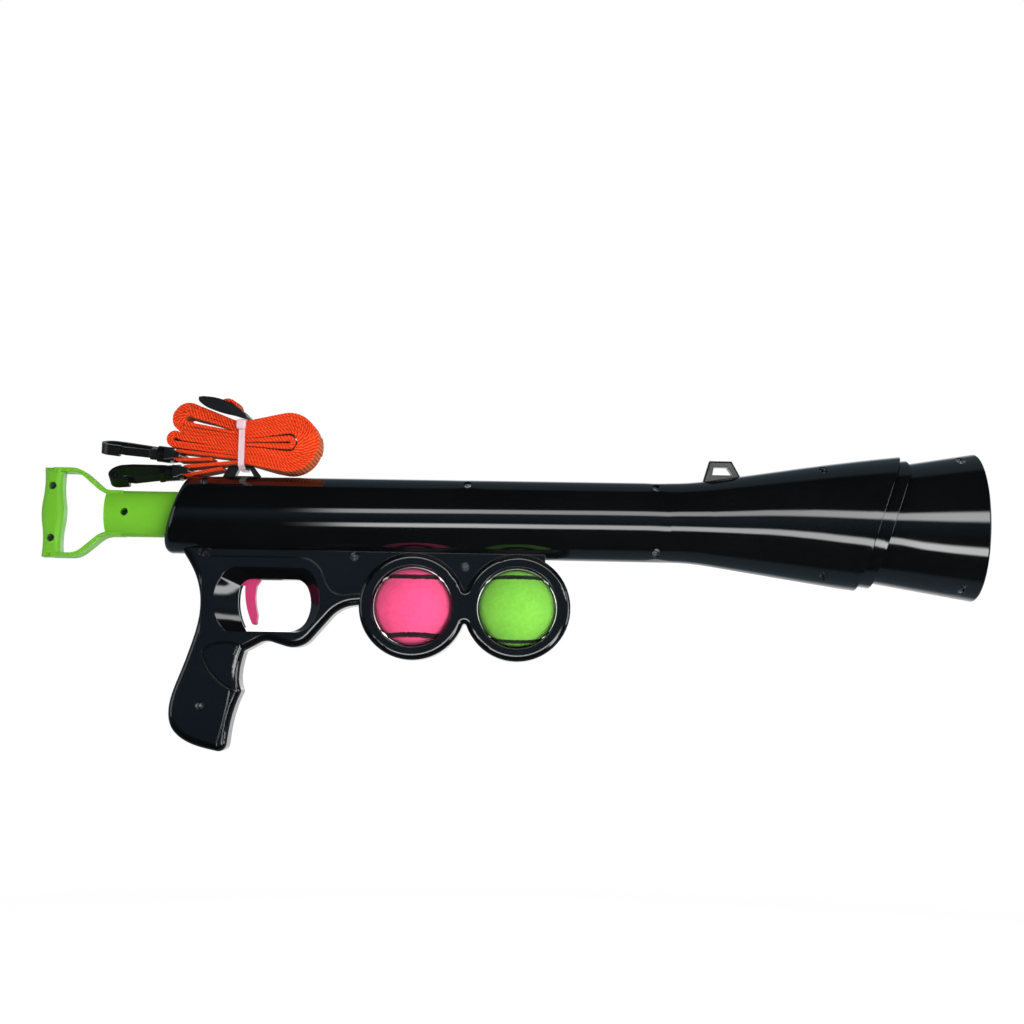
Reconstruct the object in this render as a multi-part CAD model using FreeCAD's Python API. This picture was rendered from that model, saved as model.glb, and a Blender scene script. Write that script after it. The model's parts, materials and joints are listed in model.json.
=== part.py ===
"""Dog tennis ball launcher: a hand-held spring launcher with a trumpet muzzle.

Millimetres. +X is the way the ball flies, +Z is up and the pistol grip hangs down.
The origin is the middle of the hand-hold of the pistol grip. The moulded body is split
into right and left shells on the plane Y = 0, and its screws go in from the right, -Y.
"""

import FreeCAD
import Part

import math
import os

V = FreeCAD.Vector
X_AXIS = V(1, 0, 0)
Y_AXIS = V(0, 1, 0)
BIG = 2000.0

# barrel
AXIS_Z = 131.0
WALL = 2.8
TUBE_REAR_X = -22.6
TUBE_REAR_R = 31.1
TUBE_FRONT_X = 370.0
TUBE_FRONT_R = 31.8
REAR_SLANT = 17.5
REAR_ROUND = 6.5
FLARE_BLEND = 32.0
FLARE_ANGLE = 8.8
FLARE_CURVE_X = 474.0
FLARE_CURVE = 84.0
FLARE_LIP_ANGLE = 6.2
STEP_X = 536.2
STEP_LEAN = 18.2
STEP_BOW = 5.6
STEP_DROP = 3.6
COLLAR_LENGTH = 11.2
LIP_THICKNESS = 8.0

# muzzle cone
MUZZLE_X = 613.1
MUZZLE_R = 59.0
MUZZLE_ANGLE = 9.4
MUZZLE_WALL = 2.6
MUZZLE_FLANGE = 3.5
MUZZLE_GAP = 0.1

# grip, trigger guard and ball rings
FRAME_HALF = 15.0
FRAME_EDGE = 6.0
PLATE_HALF = 14.0
PLATE_END_X = 272.5
FRAME_TOP_Z = 112.0
GUARD_TOP_Z = 97.3
GRIP_WALL = 3.0
GROOVE_DEPTH = 0.8
RELIEF_DEPTH = 0.5
RING_X = 168.2
RING_PITCH = 82.5
RING_Z = 60.5
RING_R = 42.3
RING_BORE_R = 31.5
RING_BORE_EDGE = 0.8
RING_HALF = 16.5
RING_EDGE = 4.5
RING_WALL = 2.8
NOTCH_R = 1.6
OPENING_WEB = 6.0

# balls
BALL_R = 31.2
BALL_WALL = 3.6

# plunger
PLUNGER_R = 18.4
PLUNGER_WALL = 2.5
PLUNGER_REAR_X = -76.8
PLUNGER_FRONT_X = 212.0
PLUNGER_GAP = 0.35
HANDLE_X = -119.9
HANDLE_HALF_HEIGHT = 35.6
HANDLE_HALF_WIDTH = 10.0
ARM_THICKNESS = 3.3
ARM_BEND_R = 17.0
ARM_REAR_BEND_X = -105.6
ARM_FRONT_BEND_X = -72.4
ARM_END_X = -63.9
BAR_EDGE = 5.0
ROD_R = 10.0
ROD_WALL = 2.0
ROD_REAR_X = 150.0
ROD_FRONT_X = 427.0
ROD_GAP = 0.3
CLAMP_LENGTH = 16.0
CATCH_LENGTH = 10.0
CATCH_HALF = 4.0
CATCH_DEPTH = 23.5
PISTON_X = 417.0
PISTON_LENGTH = 14.0
PISTON_R = 28.6
PISTON_FLAT = 21.2
STRIKER_R = 17.0
STRIKER_LENGTH = 15.0

# main spring
SEAT_X = 222.0
SEAT_THICKNESS = 4.0
WASHER_THICKNESS = 1.2
WASHER_R = 18.0
SPRING_R = 14.6
SPRING_WIRE = 2.2
SPRING_TURNS = 14
END_GAP = 0.2

# ball seat in the flare
BALL_SEAT_X = 434.0
BALL_SEAT_LENGTH = 16.0
BALL_SEAT_R = 22.0
BALL_SEAT_WALL = 2.5
BALL_SEAT_RIM = 4.0
BALL_SEAT_MOUTH_R = 31.5
RIB_HEIGHT = 3.5
RIB_LENGTH = 3.0

# trigger
PIVOT_X = 46.2
PIVOT_Z = 92.7
PIVOT_R = 2.0
TRIGGER_HALF = 4.0
TRIGGER_GAP = 0.5
TRIGGER_SLOT_X = 22.0
PIN_HALF = 10.7
NOSE_X = 72.0
NOSE_LENGTH = 6.0
NOSE_TOP = 0.95
ARM_UNDER = 3.2
TRIGGER_SPRING_X = 66.0
TRIGGER_SPRING_R = 2.6
TRIGGER_SPRING_WIRE = 0.7
TRIGGER_SPRING_TURNS = 4
BAY_FLOOR_Z = 83.6

# screws and their bosses
SCREW_R = 1.5
SCREW_HEAD_R = 2.8
SCREW_HEAD = 2.2
SCREW_RECESS_HALF = 1.7
SCREW_SLOT_HALF = 0.35
SCREW_TURN = 37.0
SCREW_RECESS_DEPTH = 1.2
SCREW_SEAT = 2.5
SCREW_TIP = 9.5
RECESS_R = 3.1
BOSS_R = 3.8
MUZZLE_SCREW_SEAT = 14.0
MUZZLE_SCREW_TIP = 6.0
HANDLE_SCREW_SEAT = 3.5
HANDLE_SCREW_TIP = 6.0
PLUNGER_SCREW_X = -60.6
TUBE_BOSS_Z = 26.0
FLARE_BOSS_Z = 41.8
MUZZLE_BOSS_Z = 50.6
MUZZLE_BOSS_X = 598.6
BODY_SCREWS = ((1.2, AXIS_Z + TUBE_BOSS_Z), (209.9, AXIS_Z + TUBE_BOSS_Z),
               (359.5, AXIS_Z + TUBE_BOSS_Z), (359.5, AXIS_Z - TUBE_BOSS_Z),
               (490.5, AXIS_Z + FLARE_BOSS_Z), (490.5, AXIS_Z - FLARE_BOSS_Z),
               (2.3, 100.0), (122.1, 98.7), (209.6, 92.0), (4.2, -20.3))
MUZZLE_SCREWS = ((MUZZLE_BOSS_X, AXIS_Z + MUZZLE_BOSS_Z), (MUZZLE_BOSS_X, AXIS_Z - MUZZLE_BOSS_Z))
HANDLE_SCREWS = ((HANDLE_X, AXIS_Z + 20.8), (HANDLE_X, AXIS_Z - 20.8), (PLUNGER_SCREW_X, AXIS_Z))

# sling loops
LOOP_HALF = 4.5
LOOP_GAP = 0.15
LOOP_BEVEL = 1.2
NECK_INSET = 2.0
FOOT_MARGIN = 4.0
FOOT_HALF = 7.0
FOOT_THICKNESS = 2.4

# base and top corners along X, then the heights of base and top over the barrel's top
FRONT_LOOP = (397.6, 402.8, 420.6, 430.0, -2.7, 14.3)
FRONT_WINDOW = (405.0, 406.2, 416.8, 421.6, 2.9, 9.7)
REAR_LOOP = (12.6, 18.8, 38.0, 46.6, -2.4, 8.6)
REAR_WINDOW = (24.0, 26.8, 35.4, 38.8, 0.4, 6.2)

# webbing strap and what is on it
WAIST_X = 30.5
WAIST_TOP_Z = 206.2
WEB_WIDTH = 20.0
WEB_THICKNESS = 2.0
WEB_PITCH = 2.85
WEB_LAYERS = 12
WAIST_BEND_R = 24.0
BUNDLE_YAW = -6.0
RIGHT_LOBE = (68.3, 189.3)
RIGHT_RADII = (3.2, 8.9, 12.2, 15.5, 18.8, 22.1)
UPPER_LOBE = (-13.9, 208.4)
UPPER_RADII = (4.4, 8.2, 11.3)
LOWER_LOBE = (-24.8, 191.8)
LOWER_RADII = (2.7, 5.4)
UPPER_BAR = (-21.5, 178.7)
LOWER_BAR = (-14.0, 166.2)
BAR_R = 1.8
BAR_WRAP_R = 3.5
UPPER_TAIL = (6.0, 175.6)
LOWER_TAIL = (14.5, 168.3)
TIE_WIDTH = 4.8
TIE_THICKNESS = 1.2
TIE_GAP = 0.4
ADJUSTER_SPOT = (15.2, 219.3)
ADJUSTER_TILT = -22.0
ADJUSTER_LENGTH = 40.0
ADJUSTER_BAR_X = 3.5
ADJUSTER_THICKNESS = 4.0
ADJUSTER_ARCH = 3.2
ADJUSTER_RAIL = 3.0

# snap hooks, measured from the bar that the webbing wraps
HOOK_LENGTH = 66.5
HOOK_HALF = 10.0
HOOK_BAND = 3.4
HOOK_WIDTH = 8.6
SOCKET_START = 7.5
SOCKET_LENGTH = 11.5
SOCKET_R = 6.5
POST_R = 2.6
POST_GAP = 0.08
LIP_START = 48.0
GATE_THICKNESS = 2.2
GATE_HALF = 3.2
GATE_AXIS = (25.0, -4.4)
GATE_BEAD_R = 1.3
GATE_BEAD_GAP = 0.15
UPPER_HOOK_PITCH = 7.0
UPPER_HOOK_ROLL = 17.0
LOWER_HOOK_PITCH = -3.5
LOWER_HOOK_ROLL = 42.0

# worked out from the sizes above
PILOT_Z = AXIS_Z - PLUNGER_R
NOSE_Z = PILOT_Z - NOSE_TOP
SPRING_START_X = SEAT_X + SEAT_THICKNESS + WASHER_THICKNESS + END_GAP
RINGS_X = (RING_X, RING_X + RING_PITCH)
RIGHT = -1
LEFT = 1


# Outlines and simple solids

def point(spot, y=0.0):
    return V(spot[0], y, spot[1])


def outline(start, *steps):
    """Closed wire in the X-Z plane: a spot is a line's end, two are an arc's, a list a curve's."""
    edges = []
    at = point(start)
    for step in steps + (start,):
        if isinstance(step, list):
            end = point(step[-1])
            curve = Part.BSplineCurve()
            curve.interpolate([at] + [point(spot) for spot in step])
            edges.append(curve.toShape())
        elif isinstance(step[0], tuple):
            end = point(step[1])
            edges.append(Part.Arc(at, point(step[0]), end).toShape())
        else:
            end = point(step)
            if end.distanceToPoint(at) > 1e-6:
                edges.append(Part.makeLine(at, end))
        at = end
    return Part.Wire(edges)


def cornered(*corners):
    """Closed wire in the X-Z plane round corners (x, z, radius), each rounded by its radius."""
    turns = []
    for before, corner, after in zip(corners[-1:] + corners[:-1], corners, corners[1:] + corners[:1]):
        spot = point(corner)
        back = (point(before) - spot).normalize()
        on = (point(after) - spot).normalize()
        if corner[2] == 0:
            turns.append((spot,))
            continue
        half = back.getAngle(on) / 2
        inward = (back + on).normalize()
        reach = corner[2] / math.tan(half)
        middle = spot + inward * (corner[2] / math.sin(half) - corner[2])
        turns.append((spot + back * reach, middle, spot + on * reach))
    edges = []
    for turn, following in zip(turns, turns[1:] + turns[:1]):
        if len(turn) == 3:
            edges.append(Part.Arc(*turn).toShape())
        edges.append(Part.makeLine(turn[-1], following[0]))
    return Part.Wire(edges)


def slab(wire, low, high):
    """The outline filled from Y = low to Y = high."""
    face = Part.Face(wire)
    face.translate(V(0, low, 0))
    return face.extrude(V(0, high - low, 0))


def turned(start, *steps):
    """A profile of (x, radius) spots turned round the barrel axis."""
    solid = Part.Face(outline(start, *steps)).revolve(V(0, 0, 0), X_AXIS, 360)
    solid.translate(V(0, 0, AXIS_Z))
    return solid


def pipe(x0, x1, outer, inner):
    """A straight tube or ring on the barrel axis."""
    return turned((x0, inner), (x1, inner), (x1, outer), (x0, outer))


def disc(x0, x1, radius):
    return Part.makeCylinder(radius, x1 - x0, V(x0, 0, AXIS_Z), X_AXIS)


def cross_rod(x, z, radius, y0, y1):
    """A round bar across the body, along Y."""
    return Part.makeCylinder(radius, y1 - y0, V(x, y0, z), Y_AXIS)


def block(x0, x1, y0, y1, z0, z1):
    return Part.makeBox(x1 - x0, y1 - y0, z1 - z0, V(x0, y0, z0))


def fused(*solids):
    return solids[0].multiFuse(list(solids[1:])).removeSplitter()


def rounded(solid, radius, wanted):
    """Fillet the edges whose middle passes the test."""
    edges = [e for e in solid.Edges if wanted(e.valueAt((e.FirstParameter + e.LastParameter) / 2))]
    return solid.makeFillet(radius, edges)


def edge_rounded(solid, half, radius):
    """Fillet the outline edges of a slab on both its faces."""
    return rounded(solid, radius, lambda p: abs(abs(p.y) - half) < 1e-4)


def corner_rounded(solid, radius, spot):
    """Fillet the corner of a slab that stands at the spot."""
    return rounded(solid, radius, lambda p: p.distanceToPoint(point(spot)) < 0.01)


def half_of(solid, side):
    low = 0.0 if side == LEFT else -BIG
    return solid.common(block(-BIG, BIG, low, low + BIG, -BIG, BIG))


def save(name, shape):
    solids = shape.Solids
    shape = solids[0] if len(solids) == 1 else Part.makeCompound(solids)
    shape.exportStep("parts/" + name + ".step")


# Barrel

def bend(spot, slope0, slope1, run):
    """An arc over a run along X whose slope goes from one angle to the other."""
    mean = math.radians((slope0 + slope1) / 2)
    turn = math.radians(slope1 - slope0)
    end = (spot[0] + run, spot[1] + run * math.tan(mean))
    chord = run / math.cos(mean)
    sagitta = chord / 2 * math.tan(turn / 4)
    middle = ((spot[0] + end[0]) / 2 + sagitta * math.sin(mean),
              (spot[1] + end[1]) / 2 - sagitta * math.cos(mean))
    return middle, end


def barrel_line(inset):
    """The barrel's outer line moved in by an inset: start spot and steps."""
    rise = (TUBE_FRONT_R - TUBE_REAR_R) / (TUBE_FRONT_X - TUBE_REAR_X)
    start = (TUBE_REAR_X - 20, TUBE_REAR_R - 20 * rise - inset)
    front = (TUBE_FRONT_X, TUBE_FRONT_R - inset)
    blend = bend(front, math.degrees(math.atan(rise)), FLARE_ANGLE, FLARE_BLEND)
    run = FLARE_CURVE_X - blend[1][0]
    straight = (FLARE_CURVE_X, blend[1][1] + run * math.tan(math.radians(FLARE_ANGLE)))
    curve = bend(straight, FLARE_ANGLE, FLARE_LIP_ANGLE, FLARE_CURVE)
    return start, (front, blend, straight, curve)


def barrel_body(inset):
    start, steps = barrel_line(inset)
    end_x = steps[-1][1][0]
    return turned((start[0], 0), start, *steps, (end_x, 0))


def barrel_radius(x, inset=0.0):
    """Radius of the barrel at x on the tube or the straight of the flare."""
    steps = barrel_line(inset)[1]
    if x <= TUBE_FRONT_X:
        share = (x - TUBE_REAR_X) / (TUBE_FRONT_X - TUBE_REAR_X)
        return TUBE_REAR_R + (TUBE_FRONT_R - TUBE_REAR_R) * share - inset
    blend_end = steps[1][1]
    return blend_end[1] + (x - blend_end[0]) * math.tan(math.radians(FLARE_ANGLE))


def cone_radius(x):
    return MUZZLE_R - (MUZZLE_X - x) * math.tan(math.radians(MUZZLE_ANGLE))


def cone_body(inset, x0, x1):
    return turned((x0, 0), (x0, cone_radius(x0) - inset), (x1, cone_radius(x1) - inset), (x1, 0))


def behind_step(shift):
    """Everything behind the leaning, bowed step line, moved forward by a shift."""
    reach = MUZZLE_R + 20
    lean = reach * math.tan(math.radians(STEP_LEAN))
    bow = STEP_BOW * (reach / MUZZLE_R) ** 2
    middle_x = STEP_X + shift - STEP_BOW
    wire = outline((middle_x - BIG, AXIS_Z - reach),
                   (middle_x - lean + bow, AXIS_Z - reach),
                   ((middle_x, AXIS_Z), (middle_x + lean + bow, AXIS_Z + reach)),
                   (middle_x - BIG, AXIS_Z + reach))
    return slab(wire, -reach, reach)


def ahead_of_rear(inset):
    """Everything ahead of the slanted rear end, moved in by an inset."""
    box = block(0, BIG, -BIG / 2, BIG / 2, -BIG / 2, BIG / 2)
    box.rotate(V(0, 0, 0), Y_AXIS, REAR_SLANT)
    box.translate(V(TUBE_REAR_X + inset, 0, AXIS_Z))
    return box


def barrel_outer():
    flare = barrel_body(0).common(behind_step(0))
    collar = barrel_body(STEP_DROP).common(behind_step(COLLAR_LENGTH))
    tube = flare.fuse(collar).removeSplitter().common(ahead_of_rear(0))
    return rounded(tube, REAR_ROUND, lambda p: p.x < TUBE_REAR_X + 12)


def barrel_bore():
    """The hollow of the barrel, with the muzzle's seat through the lip."""
    hollow = barrel_body(WALL).common(behind_step(-LIP_THICKNESS)).common(ahead_of_rear(WALL))
    hollow = rounded(hollow, REAR_ROUND - WALL, lambda p: p.x < TUBE_REAR_X + 16)
    seat = cone_body(-MUZZLE_GAP, STEP_X - 60, MUZZLE_X + 20)
    rear_bore = disc(TUBE_REAR_X - 40, TUBE_REAR_X + 40, PLUNGER_R + PLUNGER_GAP)
    return hollow.fuse([seat, rear_bore])


def barrel_walls():
    """Rings moulded inside the barrel: the spring's wall and the ball seat's two ribs."""
    rear_rib = BALL_SEAT_X + BALL_SEAT_LENGTH - BALL_SEAT_RIM - END_GAP - RIB_LENGTH
    front_rib = BALL_SEAT_X + BALL_SEAT_LENGTH + END_GAP
    walls = [pipe(SEAT_X, SEAT_X + SEAT_THICKNESS, barrel_radius(SEAT_X, WALL / 2), ROD_R + ROD_GAP)]
    for x in (rear_rib, front_rib):
        outer = barrel_radius(x, WALL / 2)
        walls.append(pipe(x, x + RIB_LENGTH, outer, outer - WALL / 2 - RIB_HEIGHT))
    return walls


# Frame: grip, guard, plate and rings

def grip_outline():
    return outline((-21.5, FRAME_TOP_Z),
                   [(-11.5, 96.8), (-4.5, 84.3), (0.4, 65.0), (-0.6, 46.4), (-5.6, 27.4),
                    (-13.0, 6.0), (-19.0, -10.6), (-21.3, -23.0), (-18.9, -37.0), (-9.4, -46.6),
                    (6.0, -52.8), (24.6, -56.9)],
                   [(25.6, -47.4), (27.3, -34.8), (30.3, -22.1), (35.9, -8.0)],
                   [(33.5, 1.5), (33.9, 9.7), (35.3, 17.0), (38.6, 28.0)],
                   (38.6, 88.0), (11.0, 99.0), (11.0, FRAME_TOP_Z))


def guard_outline():
    """The guard, and the raised panel above it up to the step line on the plate."""
    return cornered((2.0, GUARD_TOP_Z, 0), (2.0, 28.0, 0), (36.0, 22.6, 3.0), (53.3, 32.2, 12.0),
                    (81.0, 23.7, 19.5), (111.1, 58.9, 27.0), (140.0, 62.5, 0), (140.0, 70.5, 0),
                    (104.0, 67.5, 14.0), (92.0, GUARD_TOP_Z, 20.0))


def plate_outline():
    second = RINGS_X[1]
    return outline((6.0, FRAME_TOP_Z), (6.0, 92.0), (86.0, 84.0), (90.0, 64.0), (105.0, 60.0),
                   (128.0, RING_Z + 3), (second, RING_Z), (PLATE_END_X, 78.0),
                   (PLATE_END_X, FRAME_TOP_Z))


def rings_outline(radius):
    """Two round lobes joined by a web, with a small round at the bottom of each notch."""
    half_pitch = RING_PITCH / 2
    lift = math.sqrt((radius + NOTCH_R) ** 2 - half_pitch ** 2)
    touch_x = half_pitch * radius / (radius + NOTCH_R)
    touch_z = lift * radius / (radius + NOTCH_R)
    first, second = RINGS_X
    middle = first + half_pitch
    upper = (first + touch_x, RING_Z + touch_z)
    lower = (first + touch_x, RING_Z - touch_z)
    upper2 = (second - touch_x, RING_Z + touch_z)
    lower2 = (second - touch_x, RING_Z - touch_z)
    return outline(upper,
                   ((middle, RING_Z + lift - NOTCH_R), upper2),
                   ((second + radius, RING_Z), lower2),
                   ((middle, RING_Z - lift + NOTCH_R), lower),
                   ((first - radius, RING_Z), upper))


def trigger_opening():
    """The opening in the middle of the guard's thickness."""
    return outline((37.2, 39.3), ((30.5, 57.0), (31.0, 72.5)), ((34.5, 78.1), (40.8, 80.3)),
                   (74.7, 80.3), ((81.0, 78.3), (85.2, 73.1)), ((87.7, 61.0), (84.6, 48.0)),
                   ((79.0, 41.7), (70.9, 39.3)))


def finger_scoop(side):
    """The hollow that leads a finger in to the trigger, from one face of the guard."""
    inner = trigger_opening()
    outer = outline((21.2, 38.4), ((10.1, 60.0), (16.0, 80.4)), ((19.8, 86.0), (29.0, 89.4)),
                    (76.0, 89.4), ((87.0, 86.8), (92.8, 78.0)), ((95.6, 62.0), (91.5, 47.0)),
                    ((85.5, 40.4), (75.0, 38.4)))
    inner.translate(V(0, side * OPENING_WEB, 0))
    outer.translate(V(0, side * (FRAME_HALF + 0.5), 0))
    return Part.makeLoft([outer, inner], True, True)


def face_cut(wire, side, depth):
    """The outline sunk by a depth into one face of the grip."""
    low, high = sorted((side * (FRAME_HALF - depth), side * (FRAME_HALF + 1)))
    return slab(wire, low, high)


def grip_lines(side):
    """The leaf-shaped thumb panel's grooves and the lowered front of the grip, on one face."""
    upper = outline((4.4, 21.6), ((19.6, 28.7), (32.8, 26.6)), (32.5, 27.9), ((19.3, 30.1), (3.7, 22.9)))
    lower = outline((4.0, 19.9), ((11.8, 4.8), (27.2, -7.3)), (27.9, -6.1), ((13.2, 5.6), (5.4, 19.4)))
    short = outline((33.3, 27.2), (30.4, 19.6), (29.3, 20.0), (32.2, 27.6))
    front = outline((50.0, -8.2), (26.9, -8.2), ((23.1, -29.0), (18.0, -49.5)), (18.0, -70.0), (50.0, -70.0))
    grooves = [face_cut(wire, side, GROOVE_DEPTH) for wire in (upper, lower, short)]
    return grooves + [face_cut(front, side, RELIEF_DEPTH)]


def frame_outer():
    grip = slab(grip_outline(), -FRAME_HALF, FRAME_HALF)
    grip = corner_rounded(grip, 6.5, (24.6, -56.9))
    grip = corner_rounded(grip, 3.0, (35.9, -8.0))
    grip = edge_rounded(grip, FRAME_HALF, FRAME_EDGE)
    guard = slab(guard_outline(), -FRAME_HALF, FRAME_HALF)
    guard = rounded(guard, FRAME_EDGE, is_guard_underside)
    plate = slab(plate_outline(), -PLATE_HALF, PLATE_HALF)
    rings = slab(rings_outline(RING_R), -RING_HALF, RING_HALF)
    rings = edge_rounded(rings, RING_HALF, RING_EDGE)
    return grip, guard, plate, rings


def is_guard_underside(spot):
    on_face = abs(abs(spot.y) - FRAME_HALF) < 1e-4
    return on_face and spot.x > 3.0 and spot.z < 63.3


def grip_hollow():
    wire = outline((2.0, 34.0), (-1.2, 27.0), (-14.2, -8.5),
                   ((-17.8, -22.0), (-16.9, -33.0)),
                   ((-14.0, -38.0), (-7.6, -42.8)),
                   ((5.0, -48.9), (15.5, -51.6)), (20.6, -48.0),
                   ((23.3, -34.0), (27.6, -19.0)), (31.4, -9.4),
                   ((29.9, 3.4), (31.4, 17.5)), (30.5, 34.0))
    half = FRAME_HALF - GRIP_WALL
    return slab(wire, -half, half)


def ring_troughs():
    """The hollow between each ring's bore wall and its rim."""
    half = RING_HALF - RING_WALL
    solids = []
    for x in RINGS_X:
        rim = cross_rod(x, RING_Z, RING_R - RING_WALL, -half, half)
        solids.append(rim.cut(cross_rod(x, RING_Z, RING_BORE_R + RING_WALL, -half, half)))
    return solids


def ring_bore(x):
    """A ball's through hole with a small bevel at both faces."""
    solids = [cross_rod(x, RING_Z, RING_BORE_R, -RING_HALF - 1, RING_HALF + 1)]
    for side in (RIGHT, LEFT):
        face = V(x, side * RING_HALF, RING_Z)
        solids.append(Part.makeCone(RING_BORE_R + RING_BORE_EDGE, RING_BORE_R, RING_BORE_EDGE,
                                    face, V(0, -side, 0)))
    return solids


def plate_pocket():
    wire = outline((96.0, 96.5), (141.0, 96.5), ((130.0, 85.0), (123.6, 72.0)), (108.0, 72.5),
                   ((102.0, 86.0), (96.0, 90.0)))
    half = PLATE_HALF - WALL
    return slab(wire, -half, half)


def trigger_slots():
    """The slot in the frame that the trigger's hub, blade and sear arm work in."""
    slot = TRIGGER_HALF + TRIGGER_GAP
    arm = block(TRIGGER_SLOT_X, NOSE_X + NOSE_LENGTH + 6, -slot, slot, BAY_FLOOR_Z, AXIS_Z - 20)
    blade = block(TRIGGER_SLOT_X, 64.0, -slot, slot, 42.0, BAY_FLOOR_Z + 1)
    return [arm, blade]


# Screws

def screw(x, z, seat, tip, turn):
    """A self-tapping screw with its head towards -Y and a cross recess turned by an angle."""
    head = cross_rod(x, z, SCREW_HEAD_R, -seat - SCREW_HEAD, -seat)
    solid = head.fuse(cross_rod(x, z, SCREW_R, -seat, tip)).removeSplitter()
    top = -seat - SCREW_HEAD
    slots = []
    for long, short in ((SCREW_RECESS_HALF, SCREW_SLOT_HALF), (SCREW_SLOT_HALF, SCREW_RECESS_HALF)):
        slot = block(x - long, x + long, top - 1, top + SCREW_RECESS_DEPTH, z - short, z + short)
        slot.rotate(V(x, 0, z), Y_AXIS, turn)
        slots.append(slot)
    return solid.cut(slots)


def screws(spots, seat, tip):
    """Screws that were each driven home to a different angle."""
    solids = [screw(x, z, seat, tip, SCREW_TURN * i) for i, (x, z) in enumerate(spots)]
    return Part.makeCompound(solids)


def bosses(spots, reach):
    return [cross_rod(x, z, BOSS_R, -reach, reach) for x, z in spots]


def screw_holes(spots, seat, tip, reach):
    """A shank hole to just past the tip and a wider well for the head."""
    holes = []
    for x, z in spots:
        holes.append(cross_rod(x, z, SCREW_R, -seat - 1, tip + 1))
        holes.append(cross_rod(x, z, RECESS_R, -reach, -seat))
    return holes


# The moulded body

def body_shells():
    grip, guard, plate, rings = frame_outer()
    barrel = barrel_outer()
    outer = fused(barrel, grip, guard, plate, rings)
    reach = RING_HALF + 20
    posts = [boss.common(outer) for boss in bosses(BODY_SCREWS, reach)]
    hollow = [barrel_bore(), grip_hollow(), plate_pocket()] + ring_troughs()
    shell = outer.cut(hollow)
    shell = shell.multiFuse(posts + barrel_walls())
    cuts = trigger_slots() + [finger_scoop(RIGHT), finger_scoop(LEFT)]
    cuts.append(slab(trigger_opening(), -OPENING_WEB - 1, OPENING_WEB + 1))
    for x in RINGS_X:
        cuts += ring_bore(x)
    cuts += grip_lines(RIGHT) + grip_lines(LEFT)
    cuts += screw_holes(BODY_SCREWS, SCREW_SEAT, SCREW_TIP, 60)
    cuts.append(cross_rod(PIVOT_X, PIVOT_Z, PIVOT_R, -PIN_HALF, PIN_HALF))
    cuts += loop_slots()
    return shell.cut(cuts)


def muzzle_shell():
    cone = cone_body(0, STEP_X - 60, MUZZLE_X)
    cone = rounded(cone, 1.2, lambda p: p.x > MUZZLE_X - 0.01)
    ahead = behind_step(-LIP_THICKNESS - MUZZLE_GAP).cut(
        behind_step(-LIP_THICKNESS - MUZZLE_FLANGE))
    flange = barrel_body(WALL + 2 * MUZZLE_GAP).common(ahead)
    front = block(0, BIG, -BIG / 2, BIG / 2, -BIG, BIG).cut(
        behind_step(-LIP_THICKNESS - MUZZLE_FLANGE))
    solid = cone.common(front).fuse(flange)
    posts = [post.common(cone) for post in bosses(MUZZLE_SCREWS, 60)]
    solid = solid.cut(cone_body(MUZZLE_WALL, STEP_X - 80, MUZZLE_X + 1))
    solid = solid.multiFuse(posts)
    return solid.cut(screw_holes(MUZZLE_SCREWS, MUZZLE_SCREW_SEAT, MUZZLE_SCREW_TIP, 60))


def ball_seat():
    """A funnel ring that holds the loaded ball, with a rim caught between the shells' ribs."""
    end = BALL_SEAT_X + BALL_SEAT_LENGTH
    rim_x = end - BALL_SEAT_RIM
    rim_r = barrel_radius(rim_x, WALL) - END_GAP
    slope = (BALL_SEAT_MOUTH_R - BALL_SEAT_R) / BALL_SEAT_LENGTH
    outer_rear = BALL_SEAT_R + BALL_SEAT_WALL
    return turned((BALL_SEAT_X, BALL_SEAT_R), (end, BALL_SEAT_MOUTH_R), (end, rim_r),
                  (rim_x, rim_r), (rim_x, outer_rear + slope * (rim_x - BALL_SEAT_X)),
                  (BALL_SEAT_X, outer_rear))


# Sling loops

def loop_frame(grow, base0, top0, top1, base1, base_z, top_z):
    return outline((base0 - grow, base_z), (top0 - grow, top_z + grow),
                   (top1 + grow, top_z + grow), (base1 + grow, base_z))


def loop_sizes(loop, window):
    """The loop's and its window's corners, with heights in the part's own frame."""
    level = AXIS_Z + barrel_radius((loop[1] + loop[2]) / 2)
    return [(*sizes[:4], sizes[4] + level, sizes[5] + level) for sizes in (loop, window)]


def sling_loop(loop, window):
    """A bevelled loop with a foot that the two shells close round."""
    frame, hole = loop_sizes(loop, window)
    body = slab(loop_frame(0, *frame), -LOOP_HALF, LOOP_HALF)
    body = body.makeChamfer(LOOP_BEVEL, [e for e in body.Edges if is_loop_rim(e, frame)])
    body = body.cut(slab(loop_frame(0, *hole), -LOOP_HALF - 1, LOOP_HALF + 1))
    foot_top = foot_level(frame)
    neck = block(frame[0] + NECK_INSET, frame[3] - NECK_INSET, -LOOP_HALF, LOOP_HALF,
                 foot_top - 1, frame[4] + 1.5)
    foot = block(frame[0] - FOOT_MARGIN / 2, frame[3] + FOOT_MARGIN / 2, -FOOT_HALF, FOOT_HALF,
                 foot_top - FOOT_THICKNESS, foot_top)
    return fused(body, neck, foot)


def is_loop_rim(edge, frame):
    spot = edge.valueAt((edge.FirstParameter + edge.LastParameter) / 2)
    return abs(abs(spot.y) - LOOP_HALF) < 1e-4 and spot.z > frame[4] + 1


def foot_level(frame):
    """Height of the barrel's inner wall over the foot's outer edge, less a gap."""
    bore = barrel_radius(frame[0], WALL)
    return AXIS_Z + math.sqrt(bore ** 2 - FOOT_HALF ** 2) - 2 * LOOP_GAP


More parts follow.
